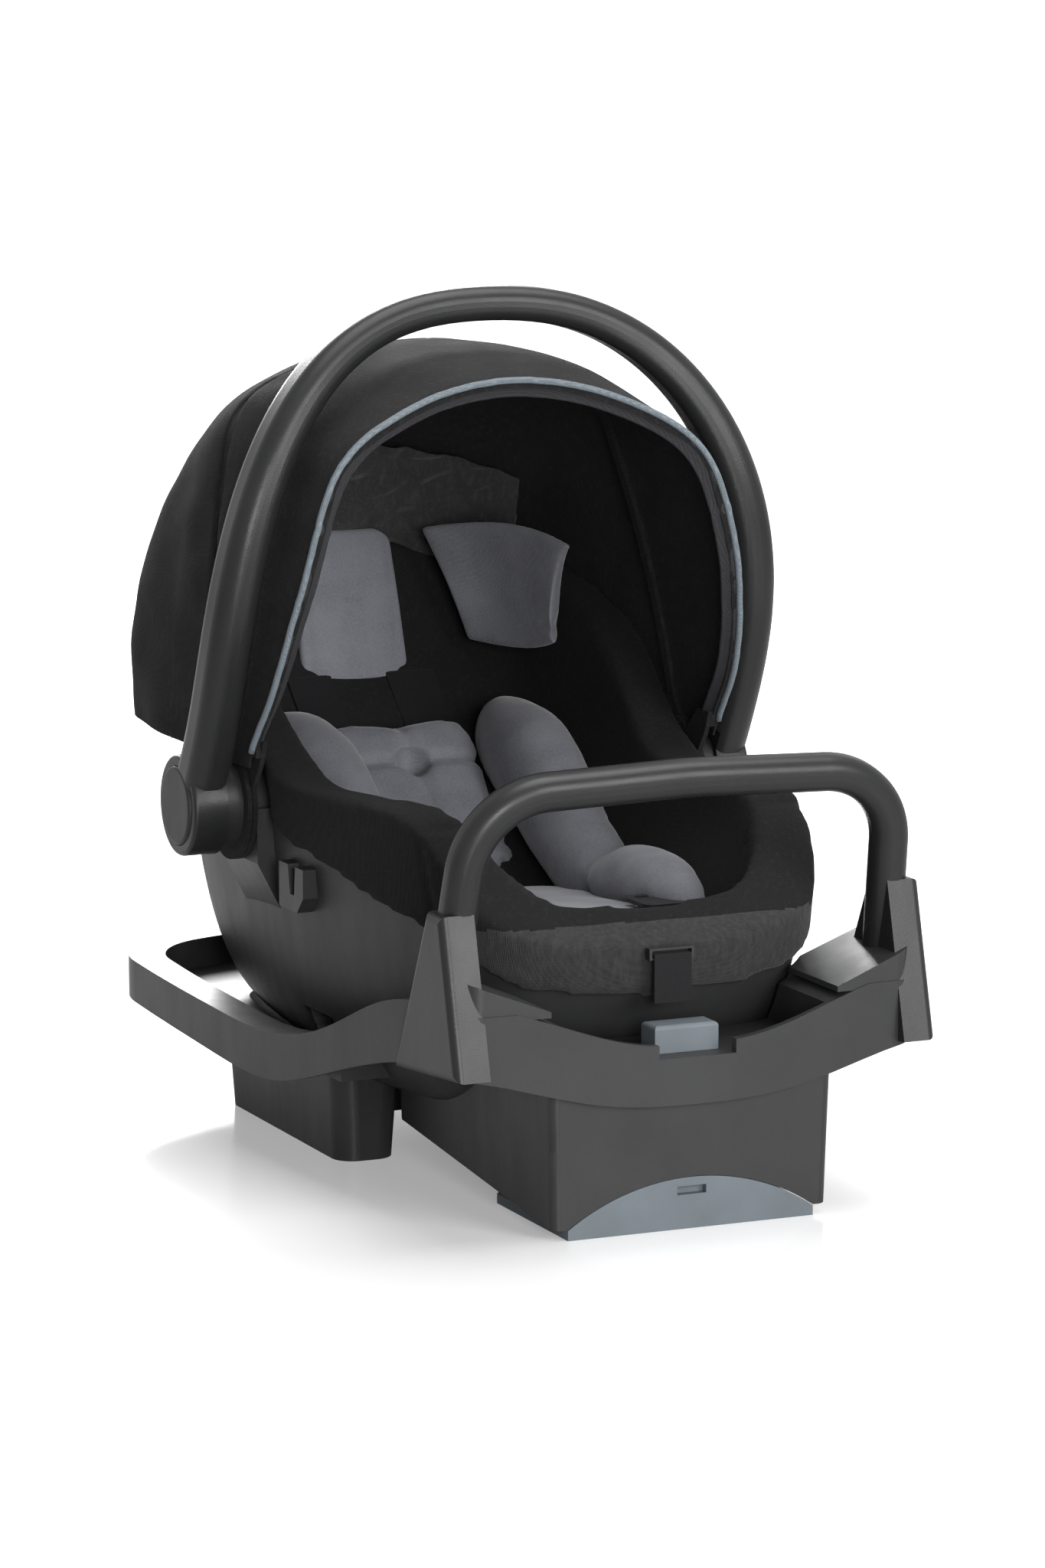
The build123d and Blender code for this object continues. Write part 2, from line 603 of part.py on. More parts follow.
def make_carrier_shell(outer):
    shell = (outer - tub(SHELL_LEVELS, -SHELL_WALL)) & below_side(COVER_TOP, RIM_ROLL)
    gusset = [(SHELL_HALF - 30, PIVOT_Z), (PILLAR_OUT, PIVOT_Z), (PILLAR_OUT, PILLAR_KNEE),
              (SHELL_HALF - 14, PILLAR_FOOT), (SHELL_HALF - 30, PILLAR_FOOT)]
    face = make_face(Polyline(*gusset, close=True))
    pillar = Pos(0, PIVOT_Y + PILLAR_HALF, 0) * extrude(Plane.XZ * face, 2 * PILLAR_HALF) - outer
    pillar = pillar - hub_cylinder(SOCKET_RADIUS + SEAT, 0, SPAN)
    lug = block(RELEASE_HALF + GAP, RELEASE_HALF + GAP + LUG_THICK, RELEASE_Y - 40, RELEASE_Y + 7,
                RELEASE_Z - 7, RELEASE_Z + 7)
    lug = fillet(lug.edges().filter_by(Axis.X).sort_by(Axis.Y)[-2:], 6) - outer
    shell = shell + pillar + mirrored(pillar) + lug + mirrored(lug)
    shell = shell - groove() - slit_room()
    for z in SLOT_HEIGHTS:
        for side in (-1, 1):
            x = side * STRAP_X
            slot = block(x - STRAP_WIDE / 2 - 2, x + STRAP_WIDE / 2 + 2, 200, SPAN, z, z + SLOT_TALL)
            shell = shell - slot
    return shell - rod(RELEASE_PIN_RADIUS + SEAT, -SPAN, SPAN, RELEASE_Y, RELEASE_Z)


def slit_room():
    """Slit in the foot end for the strap adjuster."""
    return block(-SLIT_HALF, SLIT_HALF, -SPAN, SLIT_REAR, *SLIT_Z)


def make_foam_liner():
    foam = tub(SHELL_LEVELS, -SHELL_WALL - SEAT) - tub(HOLLOW_LEVELS, COVER_THICK + SEAT)
    foam = foam & below_side(COVER_TOP, RIM_ROLL + SEAT)
    foam = foam - groove(BRACKET_WALL + SEAT)
    return foam - slit_room()


def make_seat_cover(hollow):
    core = (tub(SHELL_LEVELS, SEAT * 8) - tub(HOLLOW_LEVELS, COVER_THICK)) & below_side(COVER_TOP, RIM_ROLL)
    cover = (tub(SHELL_LEVELS, SKIRT_THICK) & below_side(COVER_TOP)) - hollow - core
    outside = tub(SHELL_LEVELS, SKIRT_THICK + 2) - tub(SHELL_LEVELS, SEAT * 7)
    cover = cover - (outside & below_side(SKIRT_EDGE))
    ring = hub_cylinder(RING_RADIUS + 3, HOLLOW_HALF + COVER_THICK + 8, SPAN)
    cover = cover - ring - mirrored(ring)
    return cover - slit_room()


def make_hub_socket(outer):
    socket = hub_cylinder(SOCKET_RADIUS, SHELL_HALF - 5, HUB_INNER - GAP)
    pin_room = hub_cylinder(PIN_RADIUS + SEAT, SHELL_HALF + 14, SPAN)
    return socket - outer - pin_room


def make_pivot_pin():
    return hub_cylinder(PIN_RADIUS, SHELL_HALF + 14 + SEAT, PIN_END)


def make_belt_guide(outer):
    x0 = SHELL_HALF - 30
    x1 = SHELL_HALF + GUIDE_OUT
    middle = (GUIDE_FRONT + GUIDE_REAR) / 2
    plate = side_plate([(GUIDE_FRONT, GUIDE_FOOT + 12), (GUIDE_FRONT + 12, GUIDE_FOOT), (GUIDE_REAR, GUIDE_FOOT),
                        (GUIDE_REAR, GUIDE_TOP), (middle + 6, GUIDE_TOP), (middle + 2, GUIDE_FOOT + 12),
                        (middle - 6, GUIDE_FOOT + 12), (middle - 8, GUIDE_TOP), (GUIDE_FRONT, GUIDE_TOP)], x0, x1)
    return plate - outer


def make_latch_bracket():
    walls = groove(BRACKET_WALL) - groove()
    walls = walls & block(-SPAN, SPAN, -SPAN, SPAN, SHELL_LEVELS[0][0] + SHELL_WALL + 1, SPAN)
    bracket = walls & tub(SHELL_LEVELS, -SHELL_WALL - SEAT)
    cheeks = block(-2, 2, HOOK_Y - 5, HOOK_Y + 9, HOOK_Z - 9, GROOVE_TOP + 1)
    for x in (-HOOK_X - 14, HOOK_X + 14):
        bracket = bracket + Pos(x, 0, 0) * cheeks
    return bracket - rod(HOOK_SHAFT_RADIUS + SHAFT_GAP, -SPAN, SPAN, HOOK_Y, HOOK_Z)


def hook_axis_turn(angle):
    return Pos(0, HOOK_Y, HOOK_Z) * Rot(angle, 0, 0) * Pos(0, -HOOK_Y, -HOOK_Z)


def make_hook(x):
    """Claw that closes under the latch bar, drawn open."""
    clear = LATCH_BAR_RADIUS + GAP
    arm = HOOK_Y + 4.5
    outline = [(HOOK_Y - 4.5, HOOK_Z + 5), (arm, HOOK_Z + 5), (arm, LATCH_Z - clear - 8), (LATCH_Y - 3, LATCH_Z - clear - 8),
               (LATCH_Y - 5, LATCH_Z - clear - 1), (LATCH_Y + clear + 0.2, LATCH_Z - clear),
               (LATCH_Y + clear + 0.2, LATCH_Z + 4)]
    claw = side_plate(outline, x - HOOK_THICK / 2, x + HOOK_THICK / 2)
    claw = claw - rod(HOOK_SHAFT_RADIUS + SEAT, -SPAN, SPAN, HOOK_Y, HOOK_Z)
    return hook_axis_turn(HOOK_OPEN) * claw


def make_hook_shaft():
    return rod(HOOK_SHAFT_RADIUS, -HOOK_X - 17, HOOK_X + 17, HOOK_Y, HOOK_Z)


def make_release_lever():
    knuckle = rod(RELEASE_PIN_RADIUS + 3, -RELEASE_HALF, RELEASE_HALF, RELEASE_Y, RELEASE_Z)
    plate = side_plate([(RELEASE_Y - 2, RELEASE_Z), (RELEASE_Y + 5, RELEASE_Z), (RELEASE_Y + 3, RELEASE_Z - RELEASE_DROP),
                        (RELEASE_Y - 4, RELEASE_Z - RELEASE_DROP)], -RELEASE_HALF, RELEASE_HALF)
    corners = plate.edges().filter_by(Axis.Y, tolerance=30).group_by(Axis.Z)[0]
    plate = fillet(corners, 8) if len(corners) == 2 else plate
    lever = knuckle + plate - rod(RELEASE_PIN_RADIUS + SHAFT_GAP, -SPAN, SPAN, RELEASE_Y, RELEASE_Z)
    turn = Pos(0, RELEASE_Y, RELEASE_Z) * Rot(RELEASE_OPEN, 0, 0) * Pos(0, -RELEASE_Y, -RELEASE_Z)
    return turn * lever


def make_release_pin():
    half = RELEASE_HALF + GAP + LUG_THICK
    return rod(RELEASE_PIN_RADIUS, -half, half, RELEASE_Y, RELEASE_Z)


# Soft inserts

def pad_section(spot, along, half, deep, crown):
    """Cushion section across a pad: flat back, straight sides and a crowned face."""
    length = (along[0] ** 2 + along[1] ** 2) ** 0.5
    plane = Plane(origin=(0, spot[0], spot[1]), x_dir=(1, 0, 0), z_dir=(0, -along[0] / length, -along[1] / length))
    edge = Curve() + Polyline((-half, -crown), (-half, -deep), (half, -deep), (half, -crown))
    edge += ThreePointArc((half, -crown), (0, 0), (-half, -crown))
    return plane * make_face(edge)


def pad_between(foot, head, half_foot, half_head, deep, crown, pull):
    """Pad lofted from its foot to its head, drawn in at both ends."""
    along = (head[0] - foot[0], head[1] - foot[1])
    sections = []
    for share, inset in ((0.0, pull), (0.12, 0.0), (0.5, 0.0), (0.88, 0.0), (1.0, pull)):
        drop = inset * 0.8
        length = (along[0] ** 2 + along[1] ** 2) ** 0.5
        normal = (-along[1] / length, along[0] / length)
        spot = (foot[0] + along[0] * share - normal[0] * drop, foot[1] + along[1] * share - normal[1] * drop)
        half = half_foot + (half_head - half_foot) * share - inset
        sections.append(pad_section(spot, along, half, deep, crown))
    return loft(sections)


def make_back_pad(room):
    pad = pad_between(BACK_FOOT, BACK_HEAD, BACK_HALF, BACK_HALF, BACK_DEEP, BACK_CROWN, 6.0)
    along = (BACK_HEAD[0] - BACK_FOOT[0], BACK_HEAD[1] - BACK_FOOT[1])
    length = (along[0] ** 2 + along[1] ** 2) ** 0.5
    normal = (-along[1] / length, along[0] / length)
    lift = TUFT_RADIUS - TUFT_DEPTH
    for share in (0.26, 0.74):
        y = BACK_FOOT[0] + along[0] * share + normal[0] * lift
        z = BACK_FOOT[1] + along[1] * share + normal[1] * lift
        pad = pad - Pos(0, y, z) * Sphere(TUFT_RADIUS)
        groove_y = BACK_FOOT[0] + along[0] * share + normal[0] * 1.5
        groove_z = BACK_FOOT[1] + along[1] * share + normal[1] * 1.5
        pad = pad - rod(3.0, -SPAN, SPAN, groove_y, groove_z)
    return pad & room


def make_seat_pad(room, back_pad):
    foot = SEAT_FRONT
    head = SEAT_REAR
    pad = pad_between(foot, head, SEAT_HALF, SEAT_HALF, 60.0, SEAT_CROWN, 5.0)
    below = pad_between(BACK_FOOT, BACK_HEAD, BACK_HALF + 40, BACK_HALF + 40, BACK_DEEP, 1.0, 0.0)
    return (pad & room) - back_pad - below


def lobe(line, x):
    """Round cushion through centre points with a radius each."""
    sections = []
    for index, (y, z, radius) in enumerate(line):
        before = line[max(index - 1, 0)]
        after = line[min(index + 1, len(line) - 1)]
        direction = (0, after[0] - before[0], after[1] - before[1])
        plane = Plane(origin=(x, y, z), x_dir=(1, 0, 0), z_dir=direction)
        sections.append(plane * Ellipse(radius * BOLSTER_FLAT, radius))
    return loft(sections)


def make_bolster(room, pads):
    cushion = lobe(BOLSTER_LINE, BOLSTER_X) + lobe(THIGH_LINE, BOLSTER_X - 4)
    cushion = cushion & room
    for pad in pads:
        cushion = cushion - pad
    return cushion


def make_head_panel(room):
    return pad_between(PANEL_FOOT, PANEL_HEAD, PANEL_HALF_FOOT, PANEL_HALF_HEAD, PANEL_DEEP, 4.0, 4.0) & room


def make_head_wing(room, panel):
    inner = ThreePointArc(*WING_PLAN)
    tip = Vector(*WING_PLAN[2])
    root = Vector(*WING_PLAN[0])
    edges = Curve() + inner
    edges += ThreePointArc((tip.X + WING_THICK * 0.7, tip.Y + 4), (WING_PLAN[1][0] + WING_THICK, WING_PLAN[1][1] + WING_THICK * 0.7),
                           (root.X + WING_THICK * 0.8, root.Y + WING_THICK))
    edges += Line((root.X + WING_THICK * 0.8, root.Y + WING_THICK), (root.X, root.Y))
    edges += Line((tip.X, tip.Y), (tip.X + WING_THICK * 0.7, tip.Y + 4))
    wing = Pos(0, 0, WING_FOOT_Z) * extrude(make_face(edges), WING_TOP_Z - WING_FOOT_Z)
    wing = fillet(wing.edges().group_by(Axis.Z)[-1].sort_by(Axis.X)[:1], 9)
    corner = side_plate([(tip.Y - 5, WING_FOOT_Z - 1), (tip.Y + WING_CHAMFER, WING_FOOT_Z - 1),
                         (tip.Y + 24, WING_TOP_Z - 28), (tip.Y - 5, WING_TOP_Z - 6)], -SPAN, SPAN)
    return ((wing - corner) & room) - panel


# Harness

def make_shoulder_strap(pads):
    band = tub(HOLLOW_LEVELS, -0.6) - tub(HOLLOW_LEVELS, -0.6 - STRAP_THICK)
    x0 = STRAP_X - STRAP_WIDE / 2
    strap = band & block(x0, x0 + STRAP_WIDE, 150, SPAN, 246, 304)
    for pad in pads:
        strap = strap - pad
    return strap


def make_crotch_pad(room):
    long = CROTCH_Y[1] - CROTCH_Y[0]
    middle = (CROTCH_Y[0] + CROTCH_Y[1]) / 2
    low = Pos(0, middle, CROTCH_FOOT - 6) * Ellipse(CROTCH_HALF - 3, long / 2 - 3)
    mid = Pos(0, middle, CROTCH_FOOT + 6) * Ellipse(CROTCH_HALF, long / 2)
    top = Pos(0, middle, CROTCH_TOP) * Ellipse(CROTCH_HALF - 9, long / 2 - 8)
    return loft([low, mid, top]) & room


def make_buckle_housing(room):
    case = block(-BUCKLE_HALF, BUCKLE_HALF, BUCKLE_Y[0], BUCKLE_Y[1] - 3, BUCKLE_FOOT - 12, BUCKLE_TOP)
    case = fillet(case.edges().group_by(Axis.Z)[-1], 3) & room
    middle = (BUCKLE_Y[0] + BUCKLE_Y[1] - 3) / 2
    return case - block(-BUCKLE_BUTTON_HALF - GAP, BUCKLE_BUTTON_HALF + GAP, middle - 8 - GAP, middle + 8 + GAP,
                        BUCKLE_TOP - 6, BUCKLE_TOP + 5)


def make_buckle_button():
    middle = (BUCKLE_Y[0] + BUCKLE_Y[1] - 3) / 2
    cap = block(-BUCKLE_BUTTON_HALF, BUCKLE_BUTTON_HALF, middle - 8, middle + 8, BUCKLE_TOP - 3, BUCKLE_TOP + 1.5)
    return fillet(cap.edges().group_by(Axis.Z)[-1], 1)


def make_buckle_tongue(pads):
    plate = Pos(TONGUE_X, (TONGUE_Y[0] + TONGUE_Y[1]) / 2, SEAT_FRONT[1] + 4.0) * extrude(
        RectangleRounded(2 * TONGUE_HALF, TONGUE_Y[1] - TONGUE_Y[0], 9), 3)
    slot = Pos(TONGUE_X, TONGUE_Y[1] - 9, SEAT_FRONT[1]) * extrude(RectangleRounded(26, 6, 2), 12)
    tongue = plate - slot
    for pad in pads:
        tongue = tongue - pad
    return tongue


def make_adjuster_bezel():
    y = SHELL_FRONT - SKIRT_THICK
    ring = block(-SLIT_HALF + SEAT, SLIT_HALF - SEAT, y - 2, y + 6, SLIT_Z[0] + SEAT, SLIT_Z[1] - SEAT)
    return ring - block(-ADJUST_HALF - 1, ADJUST_HALF + 1, y - 9, y + 9, SLIT_Z[0] + 1.5, SLIT_Z[1] - 1.5)


def make_adjuster_strap(cover):
    y = SHELL_FRONT - SKIRT_THICK
    outline = [(y - 4, SLIT_Z[0] + 4), (y - 2.2, SLIT_Z[0] + 4), (y - 2.2, ADJUST_HANG), (y - 4, ADJUST_HANG)]
    hang = side_plate(outline, -ADJUST_HALF, ADJUST_HALF)
    tail = block(-ADJUST_HALF, ADJUST_HALF, y - 4, y + 8, SLIT_Z[0] + 2.2, SLIT_Z[0] + 4)
    return hang + tail - cover


def make_adjuster_lever():
    y = SHELL_FRONT - SKIRT_THICK
    lever = block(-ADJUST_HALF + 2, ADJUST_HALF - 2, y + 9, SLIT_REAR - 2, SLIT_Z[0] + 1.8, SLIT_Z[1] - 0.8)
    return lever - rod(LEVER_PIN_RADIUS + SHAFT_GAP, -SPAN, SPAN, SLIT_REAR - 5, ADJUST_PIN_Z)


def make_adjuster_pin():
    return rod(LEVER_PIN_RADIUS, -SLIT_HALF + SEAT, SLIT_HALF - SEAT, SLIT_REAR - 5, ADJUST_PIN_Z)


# Handle

def handle_bow(z):
    share = (z - PIVOT_Z) / (HANDLE_TOP - PIVOT_Z)
    return PIVOT_Y + (HANDLE_TOP_Y - PIVOT_Y) * share - 4 * HANDLE_BOW * share * (1 - share)


def handle_point(turn):
    """Middle of the tube: turn 0 is the right leg's shoulder, 90 the top, 180 the left."""
    power = 2 / HANDLE_SQUARE
    across = cos(radians(turn))
    up = sin(radians(turn))
    x = HANDLE_HALF * copysign(abs(across) ** power, across)
    z = HANDLE_SHOULDER + (HANDLE_TOP - HANDLE_SHOULDER) * abs(up) ** power
    return Vector(x, handle_bow(z), z)


def leg_point(side, z):
    return Vector(side * HANDLE_HALF, handle_bow(z), z)


def make_handle_tube():
    low = PIVOT_Z + 12
    middle = (low + HANDLE_SHOULDER) / 2
    centres = [leg_point(1, low), leg_point(1, middle)]
    turns = [0, 10, 22, 34, 46, 60, 75, 90]
    turns = turns + [180 - turn for turn in reversed(turns[:-1])]
    centres += [handle_point(turn) for turn in turns]
    centres += [leg_point(-1, middle), leg_point(-1, low)]
    sections = []
    for index, centre in enumerate(centres):
        before = centres[max(index - 1, 0)]
        after = centres[min(index + 1, len(centres) - 1)]
        along = (after - before).normalized()
        outward = Vector(0, 1, 0).cross(along).normalized()
        rise = max(0.0, (centre.Z - HANDLE_SHOULDER) / (HANDLE_TOP - HANDLE_SHOULDER)) ** 2
        wide = LEG_WIDE + (GRIP_WIDE - LEG_WIDE) * rise
        deep = LEG_DEEP + (GRIP_DEEP - LEG_DEEP) * rise
        plane = Plane(origin=centre, x_dir=outward, z_dir=along)
        sections.append(plane * RectangleRounded(wide, deep, wide * 0.42))
    return loft(sections)


def make_carry_handle():
    hub = hub_cylinder(HUB_RADIUS, HUB_INNER, HUB_OUTER)
    hub = fillet(hub.edges().group_by(Axis.X)[-1], 3)
    handle = make_handle_tube()
    keep = block(-SPAN, -HUB_INNER, -SPAN, SPAN, -SPAN, SPAN) + block(HUB_INNER, SPAN, -SPAN, SPAN, -SPAN, SPAN)
    near_hub = hub_cylinder(HUB_RADIUS + 14, -SPAN, SPAN)
    handle = (handle - near_hub) + (handle & near_hub & keep)
    handle = handle + hub + mirrored(hub)
    disc = hub_cylinder(DISC_RADIUS + GAP, HUB_OUTER - DISC_DEPTH, SPAN)
    gear = hub_cylinder(GEAR_RADIUS + SEAT, HUB_INNER - 1, HUB_INNER + GEAR_DEPTH)
    bore = hub_cylinder(PIN_RADIUS + SHAFT_GAP, HUB_INNER - 1, SPAN)
    handle = handle - disc - mirrored(disc) - gear - mirrored(gear)
    return handle - bore - mirrored(bore)


def make_handle_gear():
    """Toothed lock plate seated in the hub."""
    gear = hub_cylinder(GEAR_RADIUS, HUB_INNER, HUB_INNER + GEAR_DEPTH - SEAT)
    for count in range(GEAR_TEETH):
        notch = Pos(0, GEAR_RADIUS, 0) * Box(SPAN, 5, 5)
        gear = gear - Pos(0, PIVOT_Y, PIVOT_Z) * Rot(count * 360 / GEAR_TEETH, 0, 0) * notch
    return gear - hub_cylinder(PIN_RADIUS + SHAFT_GAP, 0, SPAN)


def make_handle_button():
    face = HUB_OUTER - DISC_DEPTH + DISC_TRAVEL + GAP
    disc = hub_cylinder(DISC_RADIUS, face, HUB_OUTER + DISC_PROUD)
    disc = fillet(disc.edges().group_by(Axis.X)[-1], 2.5)
    return disc - hub_cylinder(DISC_RADIUS - 6, face - 1, face + 3)


def make_handle_spring():
    x0 = HUB_OUTER - DISC_DEPTH
    x1 = x0 + DISC_TRAVEL + GAP + 3
    return hub_cylinder(16, x0, x1 - SEAT) - hub_cylinder(14, x0 - 1, x1 + 1)


# Canopy

def canopy_arch(line_y, line_z, tilt, foot, crown, corner_x, corner_h, inset):
    lean = radians(tilt)
    plane = Plane(origin=(0, line_y, line_z), x_dir=(1, 0, 0), z_dir=(0, -cos(lean), sin(lean)))
    half = CANOPY_HALF - inset
    low = foot - 3 * inset
    top = crown - inset
    corner = (corner_x - inset, corner_h - inset)
    side = (half + (corner[0] - half) * 0.3, corner[1] * 0.55)
    edges = Curve() + Line((-half, low), (half, low))
    edges += ThreePointArc((half, low), side, corner)
    edges += ThreePointArc(corner, (0, top), (-corner[0], corner[1]))
    edges += ThreePointArc((-corner[0], corner[1]), (-side[0], side[1]), (-half, low))
    face = make_face(edges)
    return plane * fillet(face.vertices().sort_by(Axis.Y)[-2:], CANOPY_ROUND - inset)


def canopy_front_form(inset, lap):
    arches = list(CANOPY_FRONT_ARCHES)
    arches[0] = (arches[0][0] - lap,) + arches[0][1:]
    arches[-1] = (arches[-1][0] + lap,) + arches[-1][1:]
    return loft([canopy_arch(*arch, inset) for arch in arches])


def canopy_rear_form(inset, lap):
    arches = list(CANOPY_REAR_ARCHES)
    arches[0] = (arches[0][0] - lap,) + arches[0][1:]
    last = arches[-1]
    arches[-1] = (last[0], last[1] - lap) + last[2:]
    return loft([canopy_arch(*arch, inset) for arch in arches])


def canopy_front_layer(outer, inner):
    """Open layer of the canopy ahead of its rear panel, between two depths under its outer face."""
    layer = canopy_front_form(outer, 0) - canopy_front_form(inner, CANOPY_LAP)
    return layer & above_edge()


def make_rear_panel():
    """Dome behind the crown; the cut leaves the inner form as a second solid, which is dropped."""
    layer = canopy_rear_form(0, 0) - canopy_rear_form(CANOPY_CLOTH, CANOPY_LAP)
    layer = (layer & above_edge()) - block(-SPAN, SPAN, -SPAN, CANOPY_REAR_ARCHES[0][0] + GAP / 2, -SPAN, SPAN)
    return layer.solids().sort_by(SortBy.VOLUME)[0]


def ahead_of_front(shift):
    """Everything ahead of the canopy's front edge, moved back by shift."""
    line = [(y + shift, z) for y, z in CANOPY_FRONT]
    rest = Polyline(line[-1], (-SPAN, line[-1][1]), (-SPAN, line[0][1]), line[0])
    face = make_face(Curve() + spline_through(line) + rest)
    return extrude(Plane.YZ * face, SPAN, both=True)


def mid_plane_slab(before, after):
    """Slab across the canopy along the middle bow, from before to after its middle plane."""
    slab = block(-SPAN, SPAN, before, after, -10, SPAN)
    return Pos(0, PIVOT_Y, PIVOT_Z) * Rot(-MID_BOW_LEAN, 0, 0) * slab


def above_edge():
    return block(-SPAN, SPAN, -SPAN, SPAN, CANOPY_EDGE_Z, 2 * SPAN)


def canopy_cloth():
    return canopy_front_layer(0, CANOPY_CLOTH) - ahead_of_front(PIPING)


def bow_band():
    inner = CANOPY_CLOTH + 2 * GAP
    return canopy_front_layer(inner, inner + BOW_THICK)


def bow_ring(x0, arm_outline):
    """Ring that turns on the hub socket, with an arm up to the bow's end."""
    ring = hub_cylinder(RING_RADIUS, x0, x0 + RING_THICK)
    arm = side_plate(arm_outline, x0, x0 + RING_THICK)
    return ring + arm - hub_cylinder(SOCKET_RADIUS + SHAFT_GAP, 0, SPAN)


def make_mid_bow(band):
    bow = band & mid_plane_slab(-BOW_WIDE / 2, BOW_WIDE / 2)
    foot_y = PIVOT_Y + (CANOPY_EDGE_Z + 14 - PIVOT_Z) * tan(radians(MID_BOW_LEAN))
    arm = [(PIVOT_Y - 6, PIVOT_Z + 36), (PIVOT_Y + 14, PIVOT_Z + 36), (foot_y + 6, CANOPY_EDGE_Z + 14),
           (foot_y - 6, CANOPY_EDGE_Z + 14)]
    ring = bow_ring(MID_RING_X, arm)
    return bow + ring + mirrored(ring)


def make_front_bow(band):
    bow = (band & ahead_of_front(PIPING + BOW_WIDE)) - ahead_of_front(0)
    foot_y = CANOPY_FRONT[1][0] + PIPING
    arm = [(PIVOT_Y - 34, PIVOT_Z + 8), (PIVOT_Y - 20, PIVOT_Z + 32), (foot_y + 6, CANOPY_EDGE_Z + 12),
           (foot_y - 14, CANOPY_EDGE_Z + 12), (foot_y - 6, CANOPY_EDGE_Z - 6)]
    ring = bow_ring(FRONT_RING_X, arm)
    tab = block(FRONT_RING_X, CANOPY_HALF - CANOPY_CLOTH - 2, foot_y - 10, foot_y + 6, CANOPY_EDGE_Z, CANOPY_EDGE_Z + 12)
    ring = ring + tab
    return bow + ring + mirrored(ring)


def make_piping(bow):
    bead = canopy_front_form(-PIPING / 2, 0) - canopy_front_form(PIPING / 2, CANOPY_LAP)
    bead = bead & above_edge()
    bead = (bead & ahead_of_front(PIPING - SEAT)) - ahead_of_front(0)
    return bead - bow


# Assembly

shell_outer = tub(SHELL_LEVELS)
hollow = tub(HOLLOW_LEVELS)
soft_room = tub(HOLLOW_LEVELS, -GAP)
tray_room = tub(SHELL_LEVELS, TRAY_GAP)

parts = {}
rim = rim_block(0)
parts["base_upper"] = make_base_upper(rim, tray_room)
parts["base_lower"] = make_base_lower()
parts["base_screws"] = make_base_screws()
parts["anti_rebound_bar"] = make_bar(rim + ears())
parts["latch_bar"] = make_latch_bar()
parts["recline_foot"] = make_recline_foot()
parts["foot_pawl"] = make_foot_pawl()
parts["foot_button"] = make_foot_button()
parts["foot_button_spring"] = make_button_spring()

parts["carrier_shell"] = make_carrier_shell(shell_outer)
parts["foam_liner"] = make_foam_liner()
parts["seat_cover"] = make_seat_cover(hollow)
parts["latch_bracket"] = make_latch_bracket()
parts["hook_shaft"] = make_hook_shaft()
parts["latch_hook_left"] = make_hook(-HOOK_X)
parts["latch_hook_right"] = make_hook(HOOK_X)
parts["release_lever"] = make_release_lever()
parts["release_pin"] = make_release_pin()

parts["back_pad"] = make_back_pad(soft_room)
parts["seat_pad"] = make_seat_pad(soft_room, parts["back_pad"])
parts["head_panel"] = make_head_panel(soft_room)
pads = [parts["back_pad"], parts["seat_pad"]]
parts["bolster_right"] = make_bolster(soft_room, pads)
parts["head_wing_right"] = make_head_wing(soft_room, parts["head_panel"])
pads = pads + [parts["head_panel"], parts["bolster_right"]]
parts["shoulder_strap_right"] = make_shoulder_strap(pads)
parts["buckle_tongue_right"] = make_buckle_tongue(pads)
parts["crotch_pad"] = make_crotch_pad(soft_room)
parts["buckle_housing"] = make_buckle_housing(soft_room) - parts["crotch_pad"]
parts["buckle_button"] = make_buckle_button()
parts["adjuster_bezel"] = make_adjuster_bezel()
parts["adjuster_strap"] = make_adjuster_strap(parts["seat_cover"]) - parts["adjuster_bezel"]
parts["adjuster_lever"] = make_adjuster_lever()
parts["adjuster_pin"] = make_adjuster_pin()

parts["hub_socket_right"] = make_hub_socket(shell_outer)
parts["pivot_pin_right"] = make_pivot_pin()
parts["belt_guide_right"] = make_belt_guide(shell_outer)
parts["carry_handle"] = make_carry_handle()
parts["handle_gear_right"] = make_handle_gear()
parts["handle_button_right"] = make_handle_button()
parts["handle_spring_right"] = make_handle_spring()

cloth = canopy_cloth()
parts["canopy_front_panel"] = cloth & mid_plane_slab(-SPAN, -GAP / 2)
parts["canopy_crown_panel"] = cloth & mid_plane_slab(GAP / 2, SPAN)
parts["canopy_rear_panel"] = make_rear_panel()
band = bow_band()
parts["canopy_mid_bow"] = make_mid_bow(band)
parts["canopy_front_bow"] = make_front_bow(band)
parts["canopy_piping"] = make_piping(parts["canopy_front_bow"])

for name in [name for name in parts if name.endswith("_right") and name != "latch_hook_right"]:
    parts[name.replace("_right", "_left")] = mirrored(parts[name])

for name, shape in parts.items():
    export_step(shape, f"parts/{name}.step")
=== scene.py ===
import json
import math

import bmesh
import bpy
import numpy as np
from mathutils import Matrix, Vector, noise


